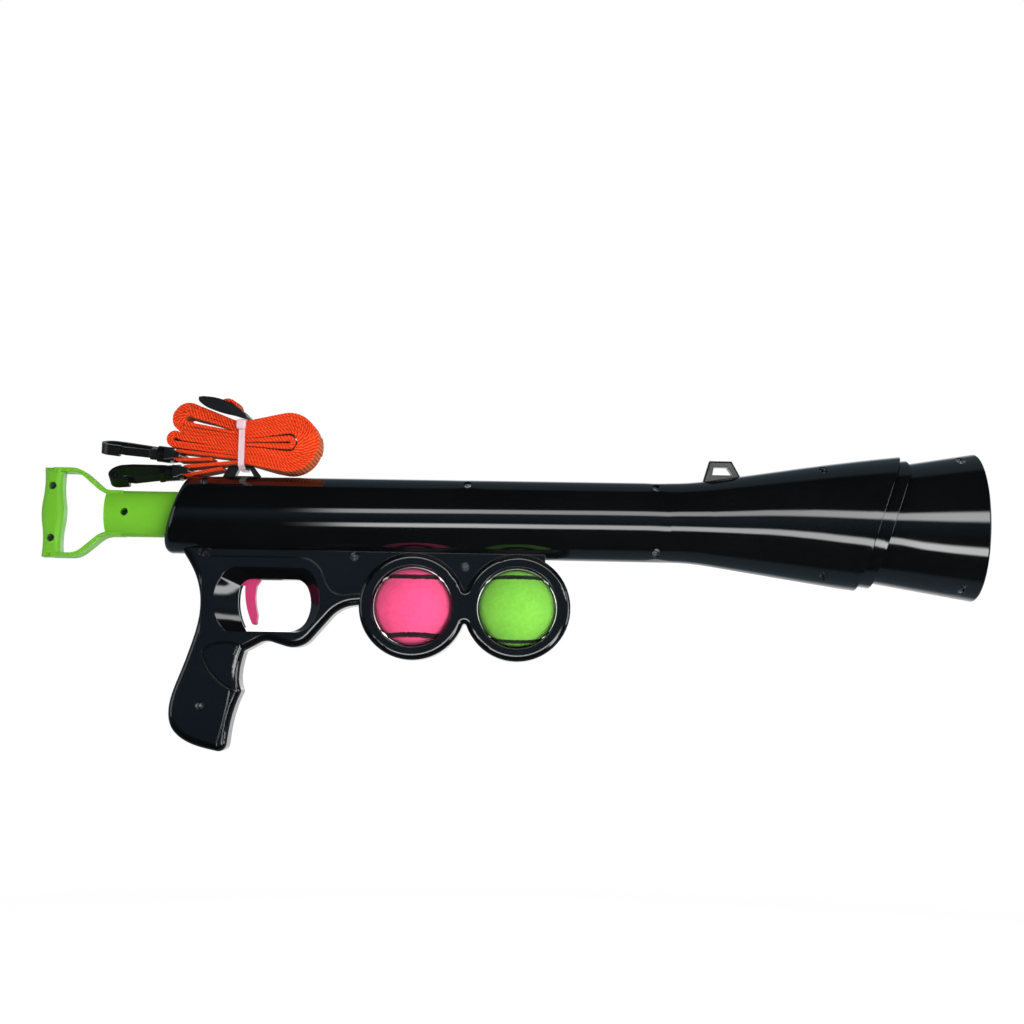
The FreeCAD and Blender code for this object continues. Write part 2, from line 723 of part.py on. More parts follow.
def loop_slots():
    """Through slots in the barrel's top for the necks and the seats of the loops."""
    cuts = []
    for loop, window in ((FRONT_LOOP, FRONT_WINDOW), (REAR_LOOP, REAR_WINDOW)):
        frame = loop_sizes(loop, window)[0]
        reach = LOOP_HALF + LOOP_GAP
        cuts.append(block(frame[0] + NECK_INSET - LOOP_GAP, frame[3] - NECK_INSET + LOOP_GAP,
                          -reach, reach, foot_level(frame) - 2, frame[4] + 10))
        cuts.append(slab(loop_frame(LOOP_GAP, *frame), -reach, reach))
    return cuts


# Plunger

def handle_arm(side):
    """One S-shaped flat arm of the D-handle; side is +1 for the upper one."""
    top = HANDLE_HALF_HEIGHT - ARM_THICKNESS / 2
    level = PLUNGER_R - ARM_THICKNESS / 2 - 0.4
    bends = ((HANDLE_X, top, 0, 1), (ARM_REAR_BEND_X, top - ARM_BEND_R, ARM_BEND_R, -1),
             (ARM_FRONT_BEND_X, level + ARM_BEND_R, ARM_BEND_R, 1), (ARM_END_X, level, 0, 1))
    pulleys = [(x, AXIS_Z + side * z, radius, side * turn) for x, z, radius, turn in bends]
    arm = ribbon(belt(pulleys), ARM_THICKNESS, 2 * HANDLE_HALF_WIDTH)
    return edge_rounded(arm, HANDLE_HALF_WIDTH, 1.0)


def handle_bar():
    """The hand bar: wide at its ends, waisted, and swelling in the middle."""
    top = AXIS_Z + HANDLE_HALF_HEIGHT
    low = AXIS_Z - HANDLE_HALF_HEIGHT
    wire = outline((HANDLE_X - 7.6, top),
                   ((HANDLE_X - 6.9, AXIS_Z + 22.0), (HANDLE_X - 8.2, AXIS_Z + 9.0)),
                   ((HANDLE_X - 8.9, AXIS_Z), (HANDLE_X - 8.2, AXIS_Z - 9.0)),
                   ((HANDLE_X - 6.9, AXIS_Z - 22.0), (HANDLE_X - 7.6, low)),
                   (HANDLE_X + 8.0, low),
                   ((HANDLE_X + 6.9, AXIS_Z - 22.0), (HANDLE_X + 8.2, AXIS_Z - 9.0)),
                   ((HANDLE_X + 8.9, AXIS_Z), (HANDLE_X + 8.2, AXIS_Z + 9.0)),
                   ((HANDLE_X + 6.9, AXIS_Z + 22.0), (HANDLE_X + 8.0, top)))
    bar = slab(wire, -HANDLE_HALF_WIDTH, HANDLE_HALF_WIDTH)
    return edge_rounded(bar, HANDLE_HALF_WIDTH, BAR_EDGE)


def plunger():
    """Green moulding: D-handle, tube and a plug at the front that clamps the push rod."""
    tube = disc(PLUNGER_REAR_X, PLUNGER_FRONT_X, PLUNGER_R)
    bore = disc(PLUNGER_REAR_X + PLUNGER_WALL, PLUNGER_FRONT_X - CLAMP_LENGTH,
                PLUNGER_R - PLUNGER_WALL)
    rib = disc(ROD_REAR_X, ROD_REAR_X + PLUNGER_WALL, PLUNGER_R - PLUNGER_WALL / 2)
    solid = fused(tube, handle_bar(), handle_arm(1), handle_arm(-1))
    posts = [post.common(solid) for post in bosses(HANDLE_SCREWS, PLUNGER_R)]
    solid = solid.cut(bore).multiFuse([rib] + posts)
    catch = block(PLUNGER_FRONT_X - CATCH_LENGTH, PLUNGER_FRONT_X + 1, -CATCH_HALF, CATCH_HALF,
                  0, AXIS_Z - ROD_R)
    cuts = [disc(ROD_REAR_X - 1, PLUNGER_FRONT_X + 1, ROD_R), catch]
    cuts += screw_holes(HANDLE_SCREWS, HANDLE_SCREW_SEAT, HANDLE_SCREW_TIP, PLUNGER_R + 1)
    return solid.cut(cuts)


def catch_block():
    """The steel block under the plunger that the sear holds, ramped at the back."""
    front = PLUNGER_FRONT_X
    back = front - CATCH_LENGTH
    low = AXIS_Z - CATCH_DEPTH
    wire = outline((front, AXIS_Z - ROD_R - 0.4), (front, low), (front - 3, low),
                   (back, PILOT_Z - 0.6), (back, AXIS_Z - ROD_R - 0.4))
    return slab(wire, -CATCH_HALF, CATCH_HALF).cut(disc(back - 1, front + 1, ROD_R))


def push_rod():
    return pipe(ROD_REAR_X, ROD_FRONT_X, ROD_R, ROD_R - ROD_WALL)


def piston():
    """Guide disc with flats that clear the screw posts, and a socket for the rod."""
    end = PISTON_X + PISTON_LENGTH
    body = disc(PISTON_X, end, PISTON_R).common(
        block(PISTON_X, end, -BIG, BIG, AXIS_Z - PISTON_FLAT, AXIS_Z + PISTON_FLAT))
    ring = pipe(PISTON_X + 3, end - 3, PISTON_R + 5, PISTON_R - 3)
    return body.cut([ring, disc(PISTON_X - 1, ROD_FRONT_X, ROD_R)])


def striker_pad():
    start = PISTON_X + PISTON_LENGTH
    end = start + STRIKER_LENGTH
    return turned((start, 0), (start, STRIKER_R - 2), (start + 3, STRIKER_R), (end - 3, STRIKER_R),
                  ((end - 0.9, STRIKER_R - 0.9), (end, STRIKER_R - 3)),
                  (end - 2.5, STRIKER_R - 10), (end - 2.5, 0))


# Springs

def coil(radius, wire, turns, height):
    """A compression spring standing on Z = 0, with a round section."""
    rise = height - wire
    helix = Part.makeHelix(rise / turns, rise, radius)
    ring = Part.Wire(Part.makeCircle(wire / 2, V(radius, 0, 0), Y_AXIS))
    spring = helix.makePipeShell([ring], True, True)
    spring.translate(V(0, 0, wire / 2))
    return spring


def main_spring():
    spring = coil(SPRING_R, SPRING_WIRE, SPRING_TURNS, PISTON_X - END_GAP - SPRING_START_X)
    spring.rotate(V(0, 0, 0), Y_AXIS, 90)
    spring.translate(V(SPRING_START_X, 0, AXIS_Z))
    return spring


def trigger_spring():
    top = PIVOT_Z - ARM_UNDER
    spring = coil(TRIGGER_SPRING_R, TRIGGER_SPRING_WIRE, TRIGGER_SPRING_TURNS,
                  top - BAY_FLOOR_Z - 2 * END_GAP)
    spring.translate(V(TRIGGER_SPRING_X, 0, BAY_FLOOR_Z + END_GAP))
    return spring


def spring_washer():
    start = SEAT_X + SEAT_THICKNESS
    return pipe(start, start + WASHER_THICKNESS, WASHER_R, ROD_R + 2 * ROD_GAP)


# Trigger

def trigger():
    """Curved blade below the pin, sear arm and nose ahead of it, in one moulding."""
    nose_end = NOSE_X + NOSE_LENGTH
    under = PIVOT_Z - ARM_UNDER
    wire = outline((29.1, 76.2), ((30.5, 80.2), (33.5, 82.2)), (36.0, 84.4), (38.6, 92.7),
                   ((PIVOT_X - 3, 99.6), (PIVOT_X + 4, 99.4)),
                   (NOSE_X - 3, 98.6), (NOSE_X, 101.0), (NOSE_X, NOSE_Z - 1.5),
                   (NOSE_X + 1.5, NOSE_Z), (nose_end - 3, NOSE_Z), (nose_end, NOSE_Z - 4),
                   (nose_end, under + 2), (nose_end - 3, under), (62.0, under), (60.8, 81.2),
                   (54.6, 81.4), (52.0, 85.6), (47.4, 80.6), (43.9, 75.0),
                   ((43.5, 62.0), (45.4, 52.0)), (44.9, 47.2),
                   ((43.4, 44.2), (41.0, 45.6)),
                   ((36.2, 60.0), (35.0, 75.0)))
    body = slab(wire, -TRIGGER_HALF, TRIGGER_HALF)
    ridge = slab(outline((36.2, 76.0), (41.6, 76.0), ((41.2, 62.0), (43.2, 49.0)),
                         ((39.0, 60.0), (36.2, 76.0))), -TRIGGER_HALF - 0.4, TRIGGER_HALF + 0.4)
    hole = cross_rod(PIVOT_X, PIVOT_Z, PIVOT_R + 0.05, -10, 10)
    return body.fuse(ridge).removeSplitter().cut(hole)


def trigger_pin():
    return cross_rod(PIVOT_X, PIVOT_Z, PIVOT_R, -PIN_HALF, PIN_HALF)


def ball(x):
    core = Part.makeSphere(BALL_R, V(x, 0, RING_Z))
    return core.cut(Part.makeSphere(BALL_R - BALL_WALL, V(x, 0, RING_Z)))


# Webbing: a route of straight runs and arcs round pulleys, then a ribbon along it

def direction(a, b):
    return math.atan2(b[1] - a[1], b[0] - a[0])


def belt(pulleys):
    """Runs and arcs of a belt round pulleys (x, z, radius, turn); turn is +1 to the left."""
    angles = []
    for a, b in zip(pulleys, pulleys[1:]):
        span = math.hypot(b[0] - a[0], b[1] - a[1])
        angles.append(direction(a, b) - math.asin((b[3] * b[2] - a[3] * a[2]) / span))
    route = []
    for i, angle in enumerate(angles):
        normal = (-math.sin(angle), math.cos(angle))
        ends = []
        for x, z, radius, turn in pulleys[i:i + 2]:
            ends.append((x - turn * radius * normal[0], z - turn * radius * normal[1]))
        route.append(("run", ends[0], ends[1]))
        if i + 1 < len(angles):
            x, z, radius, turn = pulleys[i + 1]
            swing = (turn * (angles[i + 1] - angle)) % (2 * math.pi)
            start = angle - turn * math.pi / 2
            route.append(("arc", (x, z), radius, turn, start, swing))
    return route


def spot_on(centre, radius, angle):
    return (centre[0] + radius * math.cos(angle), centre[1] + radius * math.sin(angle))


def ribbon_side(route, offset):
    """Edges of the route moved to its left by an offset."""
    edges = []
    for part in route:
        if part[0] == "run":
            angle = direction(part[1], part[2])
            shift = (-offset * math.sin(angle), offset * math.cos(angle))
            a, b = ((p[0] + shift[0], p[1] + shift[1]) for p in part[1:])
            edges.append(Part.makeLine(point(a), point(b)))
        else:
            _, centre, radius, turn, start, swing = part
            spots = [spot_on(centre, radius - turn * offset, start + turn * swing * share)
                     for share in (0, 0.5, 1)]
            edges.append(Part.Arc(*(point(s) for s in spots)).toShape())
    return edges


def ribbon(route, thickness, width):
    """A flat band of webbing on edge: the route thickened and drawn out along Y."""
    left = ribbon_side(route, thickness / 2)
    right = ribbon_side(route, -thickness / 2)
    caps = [Part.makeLine(left[-1].valueAt(left[-1].LastParameter),
                          right[-1].valueAt(right[-1].LastParameter)),
            Part.makeLine(right[0].valueAt(right[0].FirstParameter),
                          left[0].valueAt(left[0].FirstParameter))]
    wire = Part.Wire(Part.__sortEdges__(left + [caps[0]] + right + [caps[1]]))
    return slab(wire, -width / 2, width / 2)


def route_points(route, step):
    """Points about a step apart along a route, each with its distance from the start."""
    spots = []
    far = 0.0
    for part in route:
        if part[0] == "run":
            length = math.dist(part[1], part[2])
        else:
            length = part[2] * part[5]
        count = max(1, round(length / step))
        for k in range(count):
            share = k / count
            if part[0] == "run":
                spot = tuple(a + (b - a) * share for a, b in zip(part[1], part[2]))
            else:
                spot = spot_on(part[1], part[2], part[4] + part[3] * part[5] * share)
            spots.append((far + length * share, spot))
        far += length
    return spots, far


def least_gap(route, thickness):
    """The least clear distance between layers that lie apart along the route."""
    spots, length = route_points(route, 1.2)
    least = BIG
    for i, (far, spot) in enumerate(spots):
        for other_far, other in spots[i + 1:]:
            if other_far - far > 4 * thickness:
                least = min(least, math.dist(spot, other))
    return least - thickness, length


def layer_z(layer):
    return WAIST_TOP_Z - (layer + 0.5) * WEB_PITCH


def near_touch(pulley, leaving):
    """The top or bottom of a U-turn where the stretch through the waist joins it."""
    x, z, radius, turn = pulley
    travel = math.copysign(1, x - WAIST_X if leaving else WAIST_X - x)
    return (x, z - turn * travel * radius)


def waist_pulley(layer, before, after):
    """The slight bend of one layer where the tie pinches the bundle."""
    start = near_touch(before, False)
    end = near_touch(after, True)
    here = (WAIST_X, layer_z(layer))
    turn = math.copysign(1, math.sin(direction(here, end) - direction(start, here)))
    travel = math.copysign(1, end[0] - start[0])
    return (WAIST_X, here[1] + turn * travel * WAIST_BEND_R, WAIST_BEND_R, turn)


def lobe_pulleys():
    """Each U-turn by its two layers: (x, z, radius, turn when entered from the first)."""
    turns = {}
    for k, radius in enumerate(RIGHT_RADII):
        turns[("right", 5 - k)] = (6 + k, (*RIGHT_LOBE, radius, -1))
        turns[("right", 6 + k)] = (5 - k, (*RIGHT_LOBE, radius, 1))
    for k, radius in enumerate(UPPER_RADII):
        turns[("left", 2 - k)] = (3 + k, (*UPPER_LOBE, radius, 1))
        turns[("left", 3 + k)] = (2 - k, (*UPPER_LOBE, radius, -1))
    for k, radius in enumerate(LOWER_RADII):
        turns[("left", 7 - k)] = (8 + k, (*LOWER_LOBE, radius, 1))
        turns[("left", 8 + k)] = (7 - k, (*LOWER_LOBE, radius, -1))
    return turns


def stretch(layer, leftward):
    """One layer's pulleys: the waist, and the wrap of lower layers round the upper lobe."""
    if not 5 < layer < 8:
        return [layer]
    radius = UPPER_RADII[-1] + (layer - 5) * WEB_PITCH
    if leftward:
        return [layer, (*UPPER_LOBE, radius, -1)]
    return [(*UPPER_LOBE, radius, 1), layer]


def strap_route():
    """One unbroken band: tail, round the lower bar, twelve layers, round the upper bar, tail."""
    turns = lobe_pulleys()
    chain = [(*LOWER_TAIL, 0, 1), (*LOWER_BAR, BAR_WRAP_R, -1)]
    layer, side = WEB_LAYERS - 1, "right"
    while (side, layer) in turns:
        chain += stretch(layer, side == "left")
        layer, pulley = turns[(side, layer)]
        chain.append(pulley)
        side = "left" if side == "right" else "right"
    chain += [layer, (*UPPER_BAR, BAR_WRAP_R, 1), (*UPPER_TAIL, 0, 1)]
    for i, item in enumerate(chain):
        if isinstance(item, int):
            chain[i] = waist_pulley(item, chain[i - 1], chain[i + 1])
    return belt(chain)


def strap_bundle(route):
    return ribbon(route, WEB_THICKNESS, WEB_WIDTH)


def in_bundle(shape):
    """Turn a piece with the bundle about the upright line through its waist."""
    shape.rotate(V(WAIST_X, 0, 0), V(0, 0, 1), BUNDLE_YAW)
    return shape


def on_adjuster(shape):
    """Place a piece made at the origin on the tilted adjuster."""
    shape.rotate(V(0, 0, 0), Y_AXIS, -ADJUSTER_TILT)
    shape.translate(V(ADJUSTER_SPOT[0], 0, ADJUSTER_SPOT[1]))
    return in_bundle(shape)


def strap_adjuster():
    """Arched three-bar slide: two slots with the middle bar between them."""
    half = ADJUSTER_LENGTH / 2
    slot_half = WEB_WIDTH / 2 + 0.5
    half_width = slot_half + ADJUSTER_RAIL
    low = -ADJUSTER_THICKNESS
    wire = outline((-half, low), ((0, low + ADJUSTER_ARCH), (half, low)), (half + 1.2, low + 2),
                   ((0, ADJUSTER_ARCH), (-half - 1.2, low + 2)))
    body = slab(wire, -half_width, half_width)
    ends = (-half + ADJUSTER_RAIL, ADJUSTER_BAR_X - 2.4, ADJUSTER_BAR_X + 2.4, half - ADJUSTER_RAIL)
    slots = [block(x0, x1, -slot_half, slot_half, -20, 20) for x0, x1 in (ends[:2], ends[2:])]
    return on_adjuster(body.cut(slots))


def strap_sewn_end():
    """The strap's other end, looped over the adjuster's middle bar."""
    tail_z = -ADJUSTER_THICKNESS + ADJUSTER_ARCH / 2 + 0.4
    half = [(-12.8, tail_z, 0, 1), (-10.4, tail_z + 3.4, 3.4, 1), (0, -2.6, 7.6, -1)]
    mirrored = [(-x, z, radius, turn) for x, z, radius, turn in half[1::-1]]
    pulleys = [(ADJUSTER_BAR_X + x, z, radius, turn) for x, z, radius, turn in half + mirrored]
    return on_adjuster(ribbon(belt(pulleys), WEB_THICKNESS, WEB_WIDTH))


def zip_tie():
    """A band round the bundle's waist that also passes through the rear sling loop."""
    half = TIE_WIDTH / 2
    band = slab(tie_outline(TIE_THICKNESS), -half, half).cut(
        slab(tie_outline(0), -half - 1, half + 1))
    side = WEB_WIDTH / 2 + 2 * TIE_GAP
    top = WAIST_TOP_Z + TIE_GAP + TIE_THICKNESS
    head = block(-side - 6.5, -side - TIE_THICKNESS / 2, -3.4, 3.4, top - 8.6, top - 1.4)
    head = head.makeChamfer(0.8, head.Edges)
    tie = band.fuse(head).removeSplitter()
    tie.rotate(V(0, 0, 0), V(0, 0, 1), 90)
    tie.translate(V(WAIST_X, 0, 0))
    return in_bundle(tie)


def tie_outline(grow):
    """The tie's closed path, drawn across the barrel: round the bundle, in under the eye's bar."""
    side = WEB_WIDTH / 2 + 2 * TIE_GAP + grow
    pinch = LOOP_HALF + 1.2 + grow
    top = WAIST_TOP_Z + TIE_GAP + grow
    shoulder = WAIST_TOP_Z - WEB_LAYERS * WEB_PITCH - TIE_GAP - grow
    eye = loop_sizes(REAR_LOOP, REAR_WINDOW)[1]
    low = eye[5] - TIE_GAP - grow
    return cornered((side, top, 2.0 + grow), (-side, top, 2.0 + grow), (-side, shoulder, 1.0 + grow),
                    (-pinch, low, 1.0 + grow), (pinch, low, 1.0 + grow), (side, shoulder, 1.0 + grow))


# Snap hooks, made along X from the webbing bar, then placed

def hook_placement(bar, pitch, roll):
    """Local X runs from the bar to the hook's end, local Y across the hook's loop."""
    pitch = math.radians(pitch)
    roll = math.radians(roll)
    along = V(-math.cos(pitch), 0, math.sin(pitch))
    upright = V(math.sin(pitch), 0, math.cos(pitch))
    across = Y_AXIS * math.cos(roll) + upright * math.sin(roll)
    turn = FreeCAD.Rotation(along, across, along.cross(across), "XYZ")
    return FreeCAD.Placement(point(bar), turn)


def flat(start, *steps):
    """Closed face in the local X-Y plane, from the same steps as an outline."""
    wire = outline(start, *steps)
    wire.rotate(V(0, 0, 0), X_AXIS, -90)
    return Part.Face(wire)


def plate_between(face, half):
    face.translate(V(0, 0, -half))
    return face.extrude(V(0, 0, 2 * half))


def hook_base():
    """Yoke for the webbing and the socket that the hook swivels in, before its roll."""
    half_gap = WEB_WIDTH / 2 + 0.8
    half = half_gap + 2.6
    bar = Part.makeCylinder(BAR_R, 2 * half, V(0, -half, 0), Y_AXIS)
    arms = []
    for y0 in (half_gap, -half):
        side = outline((-BAR_R, -BAR_R), (-BAR_R, BAR_R), (SOCKET_START + 3, 5.0),
                       (SOCKET_START + 3, -5.0))
        arms.append(slab(side, y0, y0 + half - half_gap))
    bridge = block(SOCKET_START, SOCKET_START + 3, -half, half, -4.5, 4.5)
    socket = Part.makeCylinder(SOCKET_R, SOCKET_LENGTH, V(SOCKET_START, 0, 0), X_AXIS)
    grooves = []
    for k in range(3):
        x = SOCKET_START + 4.2 + 2.4 * k
        ring = Part.makeCylinder(SOCKET_R + 1, 0.9, V(x, 0, 0), X_AXIS)
        grooves.append(ring.cut(Part.makeCylinder(SOCKET_R - 0.6, 0.9, V(x, 0, 0), X_AXIS)))
    bore = Part.makeCylinder(POST_R + POST_GAP, 2 * SOCKET_LENGTH, V(SOCKET_START - 0.5, 0, 0), X_AXIS)
    return fused(bar, *arms, bridge, socket).cut(grooves + [bore])


def hook_body():
    """Swivel post with its head, shoulder, and a flat band bent into the hook's loop."""
    start = SOCKET_START + SOCKET_LENGTH + 0.25
    centre = HOOK_LENGTH - HOOK_HALF
    inner = HOOK_HALF - HOOK_BAND
    band = flat((start, -5.6), (start, 5.6), (start + 4, 6.4), (centre - 8, HOOK_HALF),
                (centre, HOOK_HALF), ((HOOK_LENGTH, 0), (centre, -HOOK_HALF)),
                (LIP_START, -HOOK_HALF), (LIP_START, -inner), (centre, -inner),
                ((centre + inner, 0), (centre, inner)), (centre - 8, inner),
                (start + 7, 3.4), (start + 5, 0), (start + 5, -5.8), (start + 3, -6.2))
    band = plate_between(band, HOOK_WIDTH / 2)
    tab = plate_between(flat((LIP_START, -HOOK_HALF - 1.2), (LIP_START, -HOOK_HALF + 0.5),
                             (LIP_START + 5, -HOOK_HALF + 0.5), (LIP_START + 5, -HOOK_HALF - 0.6)),
                        HOOK_WIDTH / 2 - 1)
    post = Part.makeCylinder(POST_R, start + 1 - SOCKET_START + 2, V(SOCKET_START - 2, 0, 0), X_AXIS)
    head = Part.makeCylinder(POST_R + 1.4, 1.6, V(SOCKET_START - 2, 0, 0), X_AXIS)
    return fused(band, tab, post, head).cut(gate_bead(GATE_BEAD_R + GATE_BEAD_GAP, HOOK_WIDTH))


def gate_bead(radius, half):
    """The round root that the gate turns on, across the hook."""
    return Part.makeCylinder(radius, 2 * half, V(GATE_AXIS[0], GATE_AXIS[1], -half), V(0, 0, 1))


def hook_gate():
    """The springy tongue that closes the hook, behind the lip, with a round root."""
    inner = HOOK_HALF - HOOK_BAND
    tip = LIP_START + 3.0
    start = GATE_AXIS[0]
    face = flat((start, -5.6), (start, -3.2), (tip, -inner + 0.3 + GATE_THICKNESS),
                (tip, -inner + 0.3), (LIP_START - 0.6, -inner + 0.3), (LIP_START - 4, -inner - 0.8))
    return fused(plate_between(face, GATE_HALF), gate_bead(GATE_BEAD_R, GATE_HALF))


def place_hook(maker, bar, pitch, roll):
    shape = maker()
    shape.Placement = hook_placement(bar, pitch, roll)
    return in_bundle(shape)


def main():
    os.makedirs("parts", exist_ok=True)
    shell = body_shells()
    save("right_shell", half_of(shell, RIGHT))
    save("left_shell", half_of(shell, LEFT))
    muzzle = muzzle_shell()
    save("muzzle_right", half_of(muzzle, RIGHT))
    save("muzzle_left", half_of(muzzle, LEFT))
    save("ball_seat", ball_seat())
    save("front_sling_loop", sling_loop(FRONT_LOOP, FRONT_WINDOW))
    save("rear_sling_loop", sling_loop(REAR_LOOP, REAR_WINDOW))
    save("body_screws", screws(BODY_SCREWS, SCREW_SEAT, SCREW_TIP))
    save("muzzle_screws", screws(MUZZLE_SCREWS, MUZZLE_SCREW_SEAT, MUZZLE_SCREW_TIP))
    save("handle_screws", screws(HANDLE_SCREWS, HANDLE_SCREW_SEAT, HANDLE_SCREW_TIP))
    green = plunger()
    save("plunger_right", half_of(green, RIGHT))
    save("plunger_left", half_of(green, LEFT))
    save("catch_block", catch_block())
    save("push_rod", push_rod())
    save("piston", piston())
    save("striker_pad", striker_pad())
    save("main_spring", main_spring())
    save("spring_washer", spring_washer())
    save("trigger", trigger())
    save("trigger_pin", trigger_pin())
    save("trigger_spring", trigger_spring())
    save("pink_ball", ball(RINGS_X[0]))
    save("green_ball", ball(RINGS_X[1]))
    route = strap_route()
    gap, length = least_gap(route, WEB_THICKNESS)
    print("strap hank: length", round(length), "mm, least gap to itself", round(gap, 2), "mm")
    save("strap_hank", in_bundle(strap_bundle(route)))
    save("strap_sewn_end", strap_sewn_end())
    save("strap_adjuster", strap_adjuster())
    save("zip_tie", zip_tie())
    hooks = (("upper", UPPER_BAR, UPPER_HOOK_PITCH, UPPER_HOOK_ROLL),
             ("lower", LOWER_BAR, LOWER_HOOK_PITCH, LOWER_HOOK_ROLL))
    for name, bar, pitch, roll in hooks:
        save(name + "_hook_base", place_hook(hook_base, bar, pitch, 0))
        save(name + "_hook", place_hook(hook_body, bar, pitch, roll))
        save(name + "_hook_gate", place_hook(hook_gate, bar, pitch, roll))


main()
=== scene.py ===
"""Looks of the dog tennis ball launcher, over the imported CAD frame. Metres throughout."""
import bpy
import json
import math

import bmesh
import numpy as np
from mathutils import Matrix, Vector


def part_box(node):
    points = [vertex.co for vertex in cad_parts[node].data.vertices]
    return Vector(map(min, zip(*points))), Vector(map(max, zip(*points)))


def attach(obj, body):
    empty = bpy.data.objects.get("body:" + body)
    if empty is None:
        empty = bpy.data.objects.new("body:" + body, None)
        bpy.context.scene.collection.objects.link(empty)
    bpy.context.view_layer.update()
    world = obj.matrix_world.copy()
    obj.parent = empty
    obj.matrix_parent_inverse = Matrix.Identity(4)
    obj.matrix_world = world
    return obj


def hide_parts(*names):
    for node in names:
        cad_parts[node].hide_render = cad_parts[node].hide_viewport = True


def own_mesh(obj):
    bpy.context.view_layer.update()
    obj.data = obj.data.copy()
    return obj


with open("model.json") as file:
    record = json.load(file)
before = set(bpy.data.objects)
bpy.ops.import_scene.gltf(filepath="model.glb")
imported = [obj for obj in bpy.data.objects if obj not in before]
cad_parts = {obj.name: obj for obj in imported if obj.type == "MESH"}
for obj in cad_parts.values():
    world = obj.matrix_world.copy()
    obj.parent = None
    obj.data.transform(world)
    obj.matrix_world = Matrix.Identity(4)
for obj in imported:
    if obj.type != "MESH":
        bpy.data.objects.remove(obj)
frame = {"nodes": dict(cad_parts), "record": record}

for leftover in ("Cube", "Light", "Camera"):
    if leftover in bpy.data.objects:
        bpy.data.objects.remove(bpy.data.objects[leftover], do_unlink=True)
bpy.context.view_layer.update()

scene = bpy.context.scene
scene.view_settings.view_transform = "Standard"


# Node helpers

def maths(nodes, links, kind, first, second=None):
    """A sum on one or two sockets."""
    node = nodes.new("ShaderNodeMath")
    node.operation = kind
    links.new(first, node.inputs[0])
    if second is not None:
        links.new(second, node.inputs[1])
    return node.outputs[0]


def colour_ramp(nodes, links, factor, stops):
    """Colours by factor; each stop is (position, colour)."""
    node = nodes.new("ShaderNodeValToRGB")
    elements = node.color_ramp.elements
    while len(elements) < len(stops):
        elements.new(0.5)
    for element, (position, colour) in zip(elements, stops):
        element.position = position
        element.color = (*colour, 1)
    links.new(factor, node.inputs[0])
    return node.outputs[0]


def map_range(nodes, links, value, start, end, low=0.0, high=1.0):
    """A node that brings the value's range start to end to low to high."""
    node = nodes.new("ShaderNodeMapRange")
    for key, number in (("From Min", start), ("From Max", end), ("To Min", low), ("To Max", high)):
        node.inputs[key].default_value = number
    links.new(value, node.inputs["Value"])
    return node


def towards(nodes, links, factor, under, colour):
    """A colour socket brought towards one plain colour by the factor."""
    node = nodes.new("ShaderNodeMix")
    node.data_type = "RGBA"
    node.inputs[7].default_value = (*colour, 1)
    links.new(factor, node.inputs[0])
    links.new(under, node.inputs[6])
    return node.outputs[2]


def mixed_shader(nodes, links, factor, first, second):
    node = nodes.new("ShaderNodeMixShader")
    for socket, entry in zip((factor, first, second), node.inputs):
        links.new(socket, entry)
    return node.outputs[0]


# Camera

CAMERA_ANGLE = math.radians(32.6)
CAMERA_SPOT = (0.2455, -1.3915, -0.01578)
CAMERA_AIM = (0.2455, 0.0, 0.13782)
CAMERA_ROLL = math.radians(0.971)
CAMERA_CLIP = 100


def aimed(spot, aim):
    """The matrix of something at a spot that looks down its own -Z at the aim."""
    look = (Vector(aim) - Vector(spot)).to_track_quat("-Z", "Y").to_matrix().to_4x4()
    return Matrix.Translation(spot) @ look


def add_camera():
    data = bpy.data.cameras.new("camera")
    data.lens_unit = "FOV"
    data.angle = CAMERA_ANGLE
    data.clip_end = CAMERA_CLIP
    camera = bpy.data.objects.new("camera", data)
    scene.collection.objects.link(camera)
    camera.matrix_world = aimed(CAMERA_SPOT, CAMERA_AIM) @ Matrix.Rotation(CAMERA_ROLL, 4, "Z")
    scene.camera = camera


# Lights

# softboxes: name, spot, aim, size and radiance
BACK_SIZE = (1.0, 0.35)
SOFTBOXES = (("back_left", (0.75, 1.40, 0.25), (0.25, 0, 0.1), BACK_SIZE, 1.1),
             ("back_right", (-0.25, 1.40, 0.25), (0.25, 0, 0.1), BACK_SIZE, 1.1),
             ("side_right", (1.60, -0.25, 0.15), (0.3, 0, 0.12), (0.8, 0.9), 3.6),
             ("side_left", (-1.10, -0.35, 0.25), (0.3, 0, 0.12), (0.6, 0.8), 1.3))

# strips in front of the barrel: stations along each as (x, z, height, share of the radiance)
STRIP_Y = -0.40
STRIP_ENDS = (-0.02, 0.64)
HIGH_RADIANCE = 5.9
HIGH_STRIP = ((0.010, 0.2230, 0.090, 0.00), (0.030, 0.2255, 0.086, 0.06),
              (0.050, 0.2265, 0.085, 0.38), (0.071, 0.2280, 0.084, 0.76),
              (0.091, 0.2310, 0.084, 0.90), (0.131, 0.2375, 0.084, 1.00),
              (0.210, 0.2545, 0.084, 0.94), (0.293, 0.2640, 0.088, 0.86),
              (0.334, 0.2700, 0.090, 0.86), (0.385, 0.2720, 0.092, 0.88),
              (0.440, 0.2500, 0.090, 1.00), (0.504, 0.2195, 0.087, 1.12),
              (0.555, 0.2100, 0.104, 1.20), (0.610, 0.2020, 0.108, 1.20))
LOW_RADIANCE = 8.6
